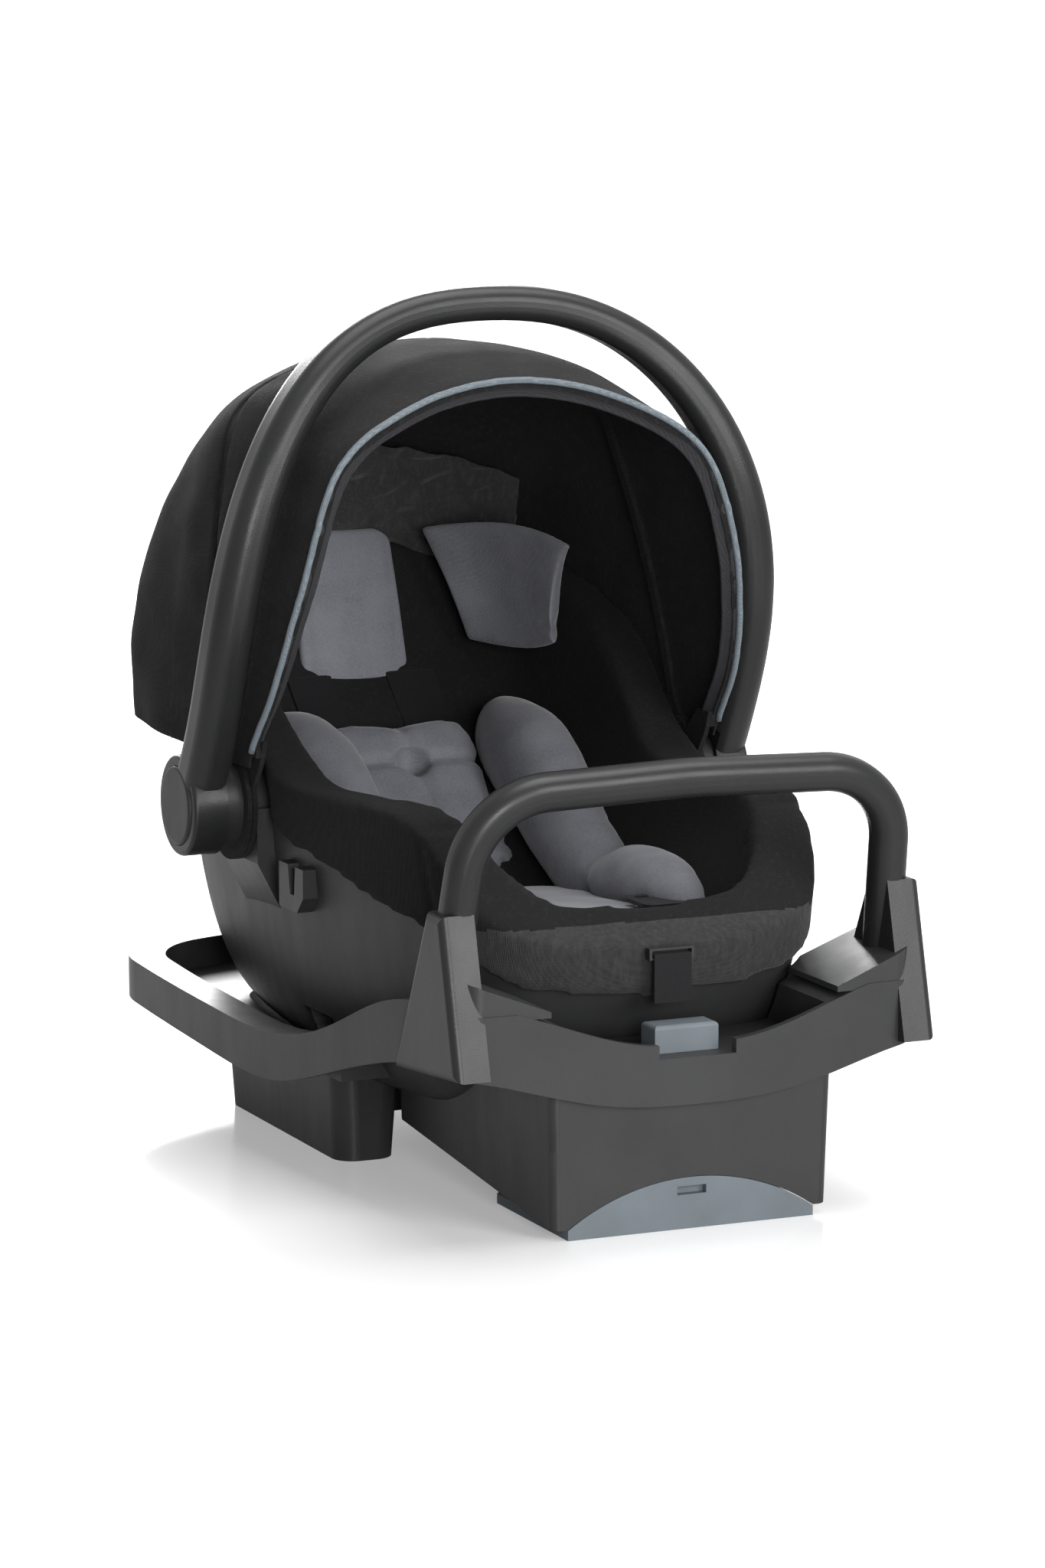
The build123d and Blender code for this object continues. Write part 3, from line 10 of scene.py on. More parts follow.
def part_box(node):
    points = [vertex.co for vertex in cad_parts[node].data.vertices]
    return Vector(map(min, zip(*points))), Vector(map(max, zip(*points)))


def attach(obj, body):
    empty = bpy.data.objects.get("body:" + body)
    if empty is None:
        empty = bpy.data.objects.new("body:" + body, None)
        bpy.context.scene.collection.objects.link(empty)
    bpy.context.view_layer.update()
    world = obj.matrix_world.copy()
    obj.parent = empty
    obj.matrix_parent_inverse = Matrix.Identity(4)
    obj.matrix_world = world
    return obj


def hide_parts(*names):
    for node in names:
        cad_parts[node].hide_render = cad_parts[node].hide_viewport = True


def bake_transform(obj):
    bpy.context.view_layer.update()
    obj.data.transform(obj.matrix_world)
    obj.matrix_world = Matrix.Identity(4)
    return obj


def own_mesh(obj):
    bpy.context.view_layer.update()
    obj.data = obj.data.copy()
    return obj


bl_info = {
    "name": "Infant Car Seat Dresser",
    "version": (1, 0, 0),
    "blender": (4, 5, 0),
    "location": "View3D > Sidebar > Car Seat",
    "description": "Dresses the packed infant car seat with cloth, padding, finishes and a studio",
    "category": "Object",
}

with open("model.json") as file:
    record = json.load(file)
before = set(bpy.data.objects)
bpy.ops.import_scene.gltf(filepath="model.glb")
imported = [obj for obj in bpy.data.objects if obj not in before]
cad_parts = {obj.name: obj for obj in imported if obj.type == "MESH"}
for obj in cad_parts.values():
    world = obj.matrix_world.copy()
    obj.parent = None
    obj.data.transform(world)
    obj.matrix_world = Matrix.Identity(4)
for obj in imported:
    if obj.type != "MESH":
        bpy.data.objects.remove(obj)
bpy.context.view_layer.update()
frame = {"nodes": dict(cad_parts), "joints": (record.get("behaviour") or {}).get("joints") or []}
NODES = frame["nodes"]

# Turning axis of handle and canopy, in metres
PIVOT = next(Vector(j["pos_m"]) for j in frame["joints"] if j["name"] == "handle_swing")
MID_BOW_LEAN = math.radians(14.9)
CANOPY_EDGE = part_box("canopy_rear_panel")[0].z
CANOPY_HEM = 0.008  # how far the cloth hangs below the edge of the CAD panels

# Arches of the canopy: Y and Z of the turning line, tilt in degrees, then heights above that line
# of the foot and the crown, and half width and height of the corner
CANOPY_HALF = 0.187
CANOPY_ARCHES = [
    (-0.090, 0.268, 0, -0.012, 0.274, 0.146, 0.234),
    (-0.040, 0.268, 0, -0.012, 0.289, 0.147, 0.241),
    (0.020, 0.268, 0, -0.012, 0.303, 0.148, 0.252),
    (0.080, 0.268, 0, -0.012, 0.307, 0.150, 0.258),
    (0.160, 0.268, 0, -0.012, 0.302, 0.150, 0.255),
    (0.162, 0.266, 12, -0.004, 0.295, 0.143, 0.245),
    (0.164, 0.264, 30, 0.006, 0.267, 0.152, 0.220),
    (0.165, 0.262, 50, 0.014, 0.236, 0.162, 0.192),
    (0.166, 0.259, 72, 0.022, 0.199, 0.165, 0.156),
    (0.168, 0.255, 90, 0.028, 0.184, 0.164, 0.138),
]
ARCH_ROUND = 0.024  # how far the corners of an arch are rounded off
ARCH_POINTS = 600  # points on an arch while its corners are rounded
BELL_REACH = 2.5  # widths of the rounding bell to either side
JOINT_ARCH = 4  # the upright arch where the canopy's front and rear rows meet
EDGE_STEP = 0.006  # spacing of points along the front edge
# Side view of the canopy's front edge: height and Y
FRONT_EDGE = [
    (0.270, 0.012), (0.286, 0.008), (0.324, -0.020), (0.377, -0.046), (0.430, -0.060),
    (0.478, -0.061), (0.520, -0.055), (0.552, -0.042), (0.600, -0.020),
]


# Settings

class CarSeatColours(bpy.types.PropertyGroup):
    """Colours of plastics and fabrics"""

    rim: bpy.props.FloatVectorProperty(
        name="Rim plastic", description="Base rim, bar, shell and handle", subtype="COLOR",
        size=3, min=0, max=1, default=(0.0225, 0.0228, 0.0235))
    lower: bpy.props.FloatVectorProperty(
        name="Lower plastic", description="Lower housing of the base", subtype="COLOR",
        size=3, min=0, max=1, default=(0.0205, 0.0205, 0.0210))
    slate: bpy.props.FloatVectorProperty(
        name="Slate plastic", description="Recline foot and its button", subtype="COLOR",
        size=3, min=0, max=1, default=(0.098, 0.114, 0.126))
    canopy: bpy.props.FloatVectorProperty(
        name="Canopy cloth", description="Outer face of the canopy", subtype="COLOR",
        size=3, min=0, max=1, default=(0.0105, 0.0105, 0.0111))
    cover: bpy.props.FloatVectorProperty(
        name="Cover cloth", description="Seat cover", subtype="COLOR",
        size=3, min=0, max=1, default=(0.0088, 0.0088, 0.0093))
    melange: bpy.props.FloatVectorProperty(
        name="Cover melange", description="Lighter threads in the cover's foot end", subtype="COLOR",
        size=3, min=0, max=1, default=(0.031, 0.031, 0.032))
    insert: bpy.props.FloatVectorProperty(
        name="Insert knit", description="Grey pads and wings", subtype="COLOR",
        size=3, min=0, max=1, default=(0.142, 0.144, 0.160))
    insert_dark: bpy.props.FloatVectorProperty(
        name="Insert knit shade", description="Darker loops of the grey knit", subtype="COLOR",
        size=3, min=0, max=1, default=(0.092, 0.094, 0.108))
    piping: bpy.props.FloatVectorProperty(
        name="Piping", description="Pale cord at the canopy's front edge", subtype="COLOR",
        size=3, min=0, max=1, default=(0.108, 0.127, 0.142))
    binding: bpy.props.FloatVectorProperty(
        name="Binding", description="Tape inside the canopy's front edge", subtype="COLOR",
        size=3, min=0, max=1, default=(0.020, 0.020, 0.022))
    webbing: bpy.props.FloatVectorProperty(
        name="Webbing", description="Harness straps", subtype="COLOR",
        size=3, min=0, max=1, default=(0.0075, 0.0075, 0.0082))
    steel: bpy.props.FloatVectorProperty(
        name="Steel", description="Pins, hooks and latch bar", subtype="COLOR",
        size=3, min=0, max=1, default=(0.55, 0.56, 0.58))


class CarSeatSizes(bpy.types.PropertyGroup):
    """Sizes of the cloth work"""

    cloth: bpy.props.FloatProperty(
        name="Cloth thickness", description="Canopy cloth with its lining", subtype="DISTANCE", default=0.0014)
    piping: bpy.props.FloatProperty(
        name="Piping radius", description="Radius of the pale cord", subtype="DISTANCE", default=0.0024)
    binding: bpy.props.FloatProperty(
        name="Binding width", description="Width of the tape inside the piping", subtype="DISTANCE",
        default=0.011)
    voxel: bpy.props.FloatProperty(
        name="Pad mesh size", description="Mesh size of the padded pieces", subtype="DISTANCE", default=0.004)
    swell: bpy.props.FloatProperty(
        name="Swell", description="Most that a pad may swell", subtype="DISTANCE", default=0.004)
    pressure: bpy.props.FloatProperty(
        name="Fill pressure", description="Pressure that fills the pads", default=4.0)


class CarSeatStage(bpy.types.PropertyGroup):
    """Camera and light"""

    azimuth: bpy.props.FloatProperty(
        name="Azimuth", description="Direction of the camera", subtype="ANGLE", default=math.radians(-24.0))
    elevation: bpy.props.FloatProperty(
        name="Elevation", description="Height of the camera", subtype="ANGLE", default=math.radians(9.501))
    distance: bpy.props.FloatProperty(
        name="Distance", description="Camera to the object", subtype="DISTANCE", default=4.262779)
    lens: bpy.props.FloatProperty(name="Lens", description="Focal length in millimetres", default=132.03)
    offset: bpy.props.FloatVectorProperty(
        name="Aim", description="Camera moved right, along the object and up", size=3, subtype="TRANSLATION",
        default=(0.028444, 0.014, 0.250874))
    floor: bpy.props.FloatVectorProperty(
        name="Floor", description="Colour of floor and background", subtype="COLOR",
        size=3, min=0, max=1, default=(0.62, 0.62, 0.62))
    key: bpy.props.FloatProperty(
        name="Top light", description="Power of the soft box overhead", subtype="POWER", default=62.0)
    fill: bpy.props.FloatProperty(
        name="Front light", description="Power of the soft box in front", subtype="POWER", default=88.0)
    side: bpy.props.FloatProperty(
        name="Camera light", description="Power of the low soft box beside the camera", subtype="POWER",
        default=70.0)
    rear: bpy.props.FloatProperty(
        name="Rear light", description="Power of the soft box behind the object", subtype="POWER",
        default=130.0)
    ambient: bpy.props.FloatProperty(
        name="Ambient", description="Strength of the light from all round", default=0.18)
    glow_near: bpy.props.FloatProperty(
        name="Floor glow near", description="Lifts the floor beside the object", default=0.28)
    glow_far: bpy.props.FloatProperty(
        name="Floor glow far", description="Evens the far floor out to white", default=1.0)


def colours():
    return bpy.context.scene.carseat_colours


def sizes():
    return bpy.context.scene.carseat_sizes


# Mesh helpers

FILL_FRAMES = 16  # frames for which a pad is blown up


def link(obj):
    bpy.context.scene.collection.objects.link(obj)
    return obj


def mesh_piece(name, points, faces, smooth=True):
    mesh = bpy.data.meshes.new(name)
    mesh.from_pydata([tuple(p) for p in points], [], [tuple(f) for f in faces])
    mesh.validate()
    if smooth:
        mesh.polygons.foreach_set("use_smooth", [True] * len(mesh.polygons))
    return link(bpy.data.objects.new(name, mesh))


def node_copy(node, name):
    """New piece with the form of a CAD node."""
    mesh = NODES[node].data.copy()
    mesh.materials.clear()
    return link(bpy.data.objects.new(name, mesh))


def baked(obj):
    """Applies every modifier."""
    dg = bpy.context.evaluated_depsgraph_get()
    mesh = bpy.data.meshes.new_from_object(obj.evaluated_get(dg))
    old = obj.data
    obj.modifiers.clear()
    obj.data = mesh
    bpy.data.meshes.remove(old)
    obj.data.polygons.foreach_set("use_smooth", [True] * len(obj.data.polygons))
    return obj


def remeshed(obj, voxel):
    m = obj.modifiers.new("Remesh", "REMESH")
    m.mode = "VOXEL"
    m.voxel_size = voxel
    return baked(obj)


def shrunk(obj, node):
    """Draws every point back onto the CAD form."""
    m = obj.modifiers.new("Shrinkwrap", "SHRINKWRAP")
    m.target = NODES[node]
    m.wrap_method = "NEAREST_SURFACEPOINT"
    return baked(obj)


def smoothed(obj, rounds, factor=0.5):
    m = obj.modifiers.new("Smooth", "SMOOTH")
    m.factor = factor
    m.iterations = rounds
    return baked(obj)


def finer(obj, levels=1):
    m = obj.modifiers.new("Subdivision", "SUBSURF")
    m.levels = levels
    m.render_levels = levels
    return baked(obj)


def bevelled(obj, width):
    """Rounds the edges and applies every modifier."""
    m = obj.modifiers.new("Bevel", "BEVEL")
    m.width = width
    m.segments = 2
    return baked(obj)


def positions(obj):
    co = np.empty(len(obj.data.vertices) * 3)
    obj.data.vertices.foreach_get("co", co)
    return co.reshape(-1, 3)


def set_positions(obj, co):
    obj.data.vertices.foreach_set("co", np.ascontiguousarray(co).ravel())
    obj.data.update()
    return obj


def normals(obj):
    out = np.empty(len(obj.data.vertices) * 3)
    obj.data.vertex_normals.foreach_get("vector", out)
    return out.reshape(-1, 3)


def pushed(obj, amount):
    """Moves each point along its normal by amount(points), in metres."""
    co = positions(obj)
    return set_positions(obj, co + normals(obj) * amount(co)[:, None])


def filled(obj):
    """Blows a pad up like stuffed cloth, with a limit on how far a point may move."""
    rest = positions(obj)
    cloth = obj.modifiers.new("Cloth", "CLOTH")
    cloth.settings.quality = 4
    cloth.settings.use_pressure = True
    cloth.settings.uniform_pressure_force = sizes().pressure
    cloth.settings.effector_weights.gravity = 0
    scene = bpy.context.scene
    for step in range(1, FILL_FRAMES + 1):
        scene.frame_set(step)
    baked(obj)
    scene.frame_set(1)
    move = positions(obj) - rest
    far = np.linalg.norm(move, axis=1)
    limit = sizes().swell
    share = np.where(far > limit, limit / np.maximum(far, 1e-9), 1.0)
    return set_positions(obj, rest + move * share[:, None])


def rumple(co, size, seed):
    """Smooth noise between -1 and 1 at each point; size in metres."""
    shift = Vector((seed * 3.1, seed * 1.7, seed * 0.9))
    return np.array([noise.noise(Vector(p) / size + shift) for p in co])


def ditch(distance, width):
    """Cross-section of a sewn line: 1 on the line, fading to 0."""
    return np.exp(-(distance / width) ** 2)


def segment_distance(co, a, b):
    a, b = np.array(a), np.array(b)
    d = b - a
    t = np.clip(((co - a) @ d) / (d @ d), 0, 1)
    return np.linalg.norm(co - a - t[:, None] * d, axis=1)


def line_distance(co, points):
    return np.min([segment_distance(co, a, b) for a, b in zip(points, points[1:])], axis=0)


def cubic(xs, ys, x):
    """Natural cubic spline through rows ys at xs."""
    xs, ys, x = np.asarray(xs, float), np.asarray(ys, float), np.asarray(x, float)
    n = len(xs)
    h = np.diff(xs)
    a = np.eye(n)
    rhs = np.zeros_like(ys)
    for i in range(1, n - 1):
        a[i, i - 1:i + 2] = h[i - 1], 2 * (h[i - 1] + h[i]), h[i]
        rhs[i] = 6 * ((ys[i + 1] - ys[i]) / h[i] - (ys[i] - ys[i - 1]) / h[i - 1])
    m = np.linalg.solve(a, rhs.reshape(n, -1)).reshape(ys.shape)
    k = np.clip(np.searchsorted(xs, x) - 1, 0, n - 2)
    w = [1] * (ys.ndim - 1)
    lo, hi = (x - xs[k]).reshape(-1, *w), (xs[k + 1] - x).reshape(-1, *w)
    hk = h[k].reshape(-1, *w)
    return ((m[k] * hi ** 3 + m[k + 1] * lo ** 3) / (6 * hk)
            + (ys[k] / hk - m[k] * hk / 6) * hi + (ys[k + 1] / hk - m[k + 1] * hk / 6) * lo)


def tube(name, points, radius, sides=10):
    """Round cord along points."""
    pts = [Vector(p) for p in points]
    rows, faces = [], []
    count = len(pts)
    side = None
    for i, p in enumerate(pts):
        ahead = (pts[min(i + 1, count - 1)] - pts[max(i - 1, 0)]).normalized()
        if side is None:
            side = ahead.orthogonal().normalized()
        side = (side - ahead * side.dot(ahead)).normalized()
        up = ahead.cross(side)
        for k in range(sides):
            turn = 2 * math.pi * k / sides
            rows.append(p + radius * (math.cos(turn) * side + math.sin(turn) * up))
    for i in range(count - 1):
        for k in range(sides):
            n = (k + 1) % sides
            faces.append((i * sides + k, i * sides + n, (i + 1) * sides + n, (i + 1) * sides + k))
    faces.append(tuple(range(sides))[::-1])
    faces.append(tuple((count - 1) * sides + k for k in range(sides)))
    return mesh_piece(name, rows, faces)


def along(points, spacing):
    """Evenly spaced points on a line of points."""
    pts = np.array([tuple(p) for p in points], float)
    run = np.concatenate([[0], np.cumsum(np.linalg.norm(np.diff(pts, axis=0), axis=1))])
    count = max(2, int(run[-1] / spacing) + 1)
    want = np.linspace(0, run[-1], count)
    return np.stack([np.interp(want, run, pts[:, i]) for i in range(3)], axis=1)


def dressed(obj, material, body=None, nodes=()):
    obj.data.materials.clear()
    obj.data.materials.append(material)
    if body:
        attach(obj, body)
    if nodes:
        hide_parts(*nodes)
    return obj


# Materials

BAND_SCALE = 0.3142  # scale of the wave texture for one band to the metre


class Finish:
    """A material with its nodes, in object space."""

    def __init__(self, name):
        self.material = bpy.data.materials.new(name)
        self.material.use_nodes = True
        self.nodes = self.material.node_tree.nodes
        self.links = self.material.node_tree.links
        self.shader = self.nodes["Principled BSDF"]
        self.coords = self.nodes.new("ShaderNodeTexCoord").outputs["Object"]

    def set(self, **values):
        for key, value in values.items():
            self.shader.inputs[key.replace("_", " ")].default_value = value

    def noise(self, size, detail=3.0, stretch=None):
        vector = self.coords
        if stretch:
            mapping = self.nodes.new("ShaderNodeMapping")
            mapping.inputs["Scale"].default_value = stretch
            self.links.new(vector, mapping.inputs["Vector"])
            vector = mapping.outputs["Vector"]
        tex = self.nodes.new("ShaderNodeTexNoise")
        tex.inputs["Scale"].default_value = 1.0 / size
        tex.inputs["Detail"].default_value = detail
        self.links.new(vector, tex.inputs["Vector"])
        return tex.outputs["Fac"]

    def wave(self, direction, pitch, distortion=0.0):
        tex = self.nodes.new("ShaderNodeTexWave")
        tex.bands_direction = direction
        tex.inputs["Scale"].default_value = BAND_SCALE / pitch
        tex.inputs["Distortion"].default_value = distortion
        self.links.new(self.coords, tex.inputs["Vector"])
        return tex.outputs["Fac"]

    def cells(self, size):
        tex = self.nodes.new("ShaderNodeTexVoronoi")
        tex.inputs["Scale"].default_value = 1.0 / size
        self.links.new(self.coords, tex.inputs["Vector"])
        return tex.outputs["Distance"]

    def math(self, kind, a, b):
        node = self.nodes.new("ShaderNodeMath")
        node.operation = kind
        for socket, value in zip(node.inputs, (a, b)):
            if isinstance(value, (int, float)):
                socket.default_value = value
            else:
                self.links.new(value, socket)
        return node.outputs[0]

    def spread(self, fac, low, high, to_low=0.0, to_high=1.0):
        node = self.nodes.new("ShaderNodeMapRange")
        for name, value in (("From Min", low), ("From Max", high), ("To Min", to_low), ("To Max", to_high)):
            node.inputs[name].default_value = value
        self.links.new(fac, node.inputs["Value"])
        return node.outputs["Result"]

    def mix(self, fac, a, b):
        node = self.nodes.new("ShaderNodeMix")
        node.data_type = "RGBA"
        self.links.new(fac, node.inputs[0])
        for socket, value in ((node.inputs[6], a), (node.inputs[7], b)):
            if hasattr(value, "is_linked"):
                self.links.new(value, socket)
            else:
                socket.default_value = (*value, 1.0)
        return node.outputs[2]

    def colour(self, output):
        self.links.new(output, self.shader.inputs["Base Color"])

    def rough(self, output):
        self.links.new(output, self.shader.inputs["Roughness"])

    def bump(self, height, distance, strength=1.0):
        node = self.nodes.new("ShaderNodeBump")
        node.inputs["Strength"].default_value = strength
        node.inputs["Distance"].default_value = distance
        self.links.new(height, node.inputs["Height"])
        previous = self.shader.inputs["Normal"]
        if previous.is_linked:
            self.links.new(previous.links[0].from_socket, node.inputs["Normal"])
        self.links.new(node.outputs["Normal"], previous)


def shade(colour, factor):
    return tuple(min(1.0, c * factor) for c in colour)


def moulded(name, colour, roughness, grain=0.0009, depth=0.00008):
    """Grained, satin moulded plastic with faint handling marks."""
    f = Finish(name)
    cloud = f.noise(0.055, 4)
    fine = f.noise(grain, 2)
    f.colour(f.mix(f.spread(cloud, 0.3, 0.7), shade(colour, 0.9), shade(colour, 1.12)))
    marks = f.noise(0.02, 5, (1.0, 1.0, 0.25))
    f.rough(f.spread(f.math("ADD", f.math("MULTIPLY", marks, 0.6), f.math("MULTIPLY", fine, 0.4)),
                     0.3, 0.7, roughness - 0.05, roughness + 0.07))
    f.bump(f.cells(grain * 1.6), depth, 0.55)
    f.bump(cloud, 0.0004, 0.12)
    f.set(Specular_IOR_Level=0.22)
    return f.material


def woven(name, colour, thread, pitch=0.0011, depth=0.00025, sheen=0.25, melange=0.0):
    """Plain weave: crossing threads, slubs and a soft nap."""
    f = Finish(name)
    threads = f.math("ADD", f.wave("X", pitch, 0.6), f.wave("Z", pitch, 0.6))
    threads = f.math("ADD", threads, f.wave("Y", pitch, 0.6))
    slub = f.noise(0.0035, 3, (1.0, 1.0, 0.35))
    cloud = f.noise(0.03, 3)
    tone = f.mix(f.spread(threads, 0.9, 2.2), shade(colour, 0.75), shade(colour, 1.15))
    tone = f.mix(f.spread(slub, 0.52 - melange * 0.12, 0.72), tone, thread)
    f.colour(f.mix(f.spread(cloud, 0.3, 0.75, 0.0, 0.35), tone, shade(colour, 1.5)))
    f.rough(f.spread(cloud, 0.3, 0.7, 0.82, 0.94))
    f.bump(threads, depth, 0.5)
    f.bump(slub, 0.0004, 0.25)
    f.set(Sheen_Weight=sheen, Sheen_Roughness=0.5, Specular_IOR_Level=0.06)
    return f.material


def knitted(name, colour, dark, pitch=0.0012):
    """Brushed jersey: fine loops, soft nap and mottled tone."""
    f = Finish(name)
    loops = f.math("MULTIPLY", f.wave("X", pitch, 1.2), f.wave("DIAGONAL", pitch * 1.3, 1.2))
    nap = f.noise(0.0016, 4)
    cloud = f.noise(0.025, 4)
    tone = f.mix(f.spread(f.math("ADD", f.math("MULTIPLY", loops, 0.22), nap), 0.3, 0.85), dark, colour)
    f.colour(f.mix(f.spread(cloud, 0.35, 0.7, 0.0, 0.45), tone, shade(colour, 1.12)))
    f.rough(f.spread(nap, 0.3, 0.7, 0.8, 0.95))
    f.bump(f.math("ADD", f.math("MULTIPLY", loops, 0.4), nap), 0.00016, 0.3)
    f.set(Sheen_Weight=0.2, Sheen_Roughness=0.4, Specular_IOR_Level=0.15)
    return f.material


def ribbed_tape(name, colour, direction="X", pitch=0.0016):
    """Webbing or tape with ribs across."""
    f = Finish(name)
    ribs = f.math("MAXIMUM", f.wave(direction, pitch, 0.2), f.wave("Z", pitch * 0.7, 0.2))
    nap = f.noise(0.002, 3)
    f.colour(f.mix(f.spread(f.math("ADD", ribs, nap), 0.5, 1.5), shade(colour, 0.7), shade(colour, 1.3)))
    f.rough(f.spread(nap, 0.3, 0.7, 0.55, 0.75))
    f.bump(ribs, 0.0003, 0.6)
    f.set(Sheen_Weight=0.02, Specular_IOR_Level=0.1)
    return f.material


def plated(name, colour):
    """Zinc-plated steel with drawing lines."""
    f = Finish(name)
    lines = f.noise(0.004, 4, (0.08, 1.0, 1.0))
    f.colour(f.mix(f.spread(lines, 0.3, 0.7), shade(colour, 0.8), shade(colour, 1.1)))
    f.rough(f.spread(lines, 0.3, 0.7, 0.28, 0.45))
    f.bump(lines, 0.0001, 0.3)
    f.set(Metallic=1.0)
    return f.material


def beaded(name):
    """Expanded bead foam."""
    f = Finish(name)
    beads = f.cells(0.004)
    f.colour(f.mix(f.spread(beads, 0.0, 0.6), (0.78, 0.78, 0.77), (0.66, 0.66, 0.65)))
    f.rough(f.spread(beads, 0.0, 0.6, 0.7, 0.85))
    f.bump(beads, 0.0006, 0.5)
    return f.material


def finish(name):
    return bpy.data.materials[name]


class CARSEAT_OT_finishes(bpy.types.Operator):
    """Make the finishes and put them on the moulded and metal pieces"""

    bl_idname = "carseat.finishes"
    bl_label = "Finishes"

    def execute(self, context):
        c = colours()
        moulded("rim_moulding", c.rim, 0.40)
        moulded("handle_moulding", shade(c.rim, 0.55), 0.34, 0.0007)
        moulded("shell_moulding", shade(c.rim, 0.85), 0.45)
        moulded("lower_moulding", c.lower, 0.42)
        moulded("slate_moulding", c.slate, 0.48, 0.0006)
        moulded("buckle_moulding", shade(c.lower, 0.7), 0.35, 0.0006)
        moulded("hub_moulding", shade(c.rim, 0.7), 0.42, 0.0006)
        plated("plated_steel", c.steel)
        beaded("bead_foam")
        woven("canopy_cloth", c.canopy, shade(c.canopy, 1.6), 0.0009, sheen=0.02)
        woven("cover_cloth", c.cover, shade(c.cover, 1.35), 0.001, sheen=0.015)
        woven("cover_melange", shade(c.melange, 0.72), c.melange, 0.0012, 0.0003, 0.06, 1.0)
        woven("gather_cloth", shade(c.melange, 0.8), shade(c.melange, 1.2), 0.001, sheen=0.1)
        knitted("insert_knit", c.insert, c.insert_dark)
        ribbed_tape("strap_webbing", c.webbing)
        ribbed_tape("edge_binding", c.binding, "Y", 0.0012)
        ribbed_tape("piping_cord", c.piping, "Y", 0.0011)
        groups = {
            "rim_moulding": ["base_upper", "belt_guide_left", "belt_guide_right"],
            "lower_moulding": ["base_lower", "foot_pawl", "release_lever"],
            "slate_moulding": ["recline_foot", "foot_button"],
            "shell_moulding": ["carrier_shell"],
            "handle_moulding": ["carry_handle", "anti_rebound_bar"],
            "hub_moulding": ["handle_button_left", "handle_button_right", "hub_socket_left", "hub_socket_right",
                             "handle_gear_left", "handle_gear_right", "adjuster_bezel"],
            "buckle_moulding": ["buckle_housing", "buckle_button", "buckle_tongue_left", "buckle_tongue_right"],
            "plated_steel": ["base_screws", "latch_bar", "hook_shaft", "latch_hook_left", "latch_hook_right",
                             "latch_bracket", "release_pin", "adjuster_pin", "adjuster_lever", "pivot_pin_left",
                             "pivot_pin_right"],
            "bead_foam": ["foam_liner"],
            "canopy_cloth": ["canopy_mid_bow", "canopy_front_bow"],
        }
        for name, nodes in groups.items():
            for node in nodes:
                mesh = NODES[node].data
                mesh.materials.clear()
                mesh.materials.append(finish(name))
        return {"FINISHED"}


# Canopy

def arc_points(a, b, c, count):
    """Points on the arc from a through b to c, in a plane."""
    ax, ay, bx, by, cx, cy = *a, *b, *c
    aa, bb, cc = ax * ax + ay * ay, bx * bx + by * by, cx * cx + cy * cy
    d = 2 * (ax * (by - cy) + bx * (cy - ay) + cx * (ay - by))
    ux = (aa * (by - cy) + bb * (cy - ay) + cc * (ay - by)) / d
    uy = (aa * (cx - bx) + bb * (ax - cx) + cc * (bx - ax)) / d
    r = math.hypot(ax - ux, ay - uy)
    start = math.atan2(ay - uy, ax - ux)
    mid = (math.atan2(by - uy, bx - ux) - start + math.pi) % (2 * math.pi) - math.pi
    end = (math.atan2(cy - uy, cx - ux) - start + math.pi) % (2 * math.pi) - math.pi
    if mid * end < 0:
        end += math.copysign(2 * math.pi, mid)
    turn = start + np.linspace(0, end, count)
    return np.stack([ux + r * np.cos(turn), uy + r * np.sin(turn)], axis=1)


def arch_outline(arch, count):
    """Half width and height of points on an arch, from the right foot to the left foot."""
    _, _, _, foot, crown, corner_x, corner_h = arch
    side = (CANOPY_HALF + (corner_x - CANOPY_HALF) * 0.3, corner_h * 0.55)
    right = arc_points((CANOPY_HALF, foot), side, (corner_x, corner_h), 200)
    top = arc_points((corner_x, corner_h), (0, crown), (-corner_x, corner_h), 400)
    left = right[::-1] * [-1, 1]
    line = np.concatenate([right, top[1:-1], left])
    run = np.concatenate([[0], np.cumsum(np.linalg.norm(np.diff(line, axis=0), axis=1))])
    want = np.linspace(0, run[-1], ARCH_POINTS)
    line = np.stack([np.interp(want, run, line[:, i]) for i in range(2)], axis=1)
    reach = int(ARCH_ROUND / (run[-1] / ARCH_POINTS) * BELL_REACH)
    bell = np.exp(-0.5 * (np.arange(-reach, reach + 1) / (reach / BELL_REACH)) ** 2)
    bell /= bell.sum()
    longer = np.concatenate([2 * line[:1] - line[reach:0:-1], line, 2 * line[-1:] - line[-2:-reach - 2:-1]])
    line = np.stack([np.convolve(longer[:, i], bell, "valid") for i in range(2)], axis=1)
    keep = np.linspace(0, ARCH_POINTS - 1, count).round().astype(int)
    return line[keep]


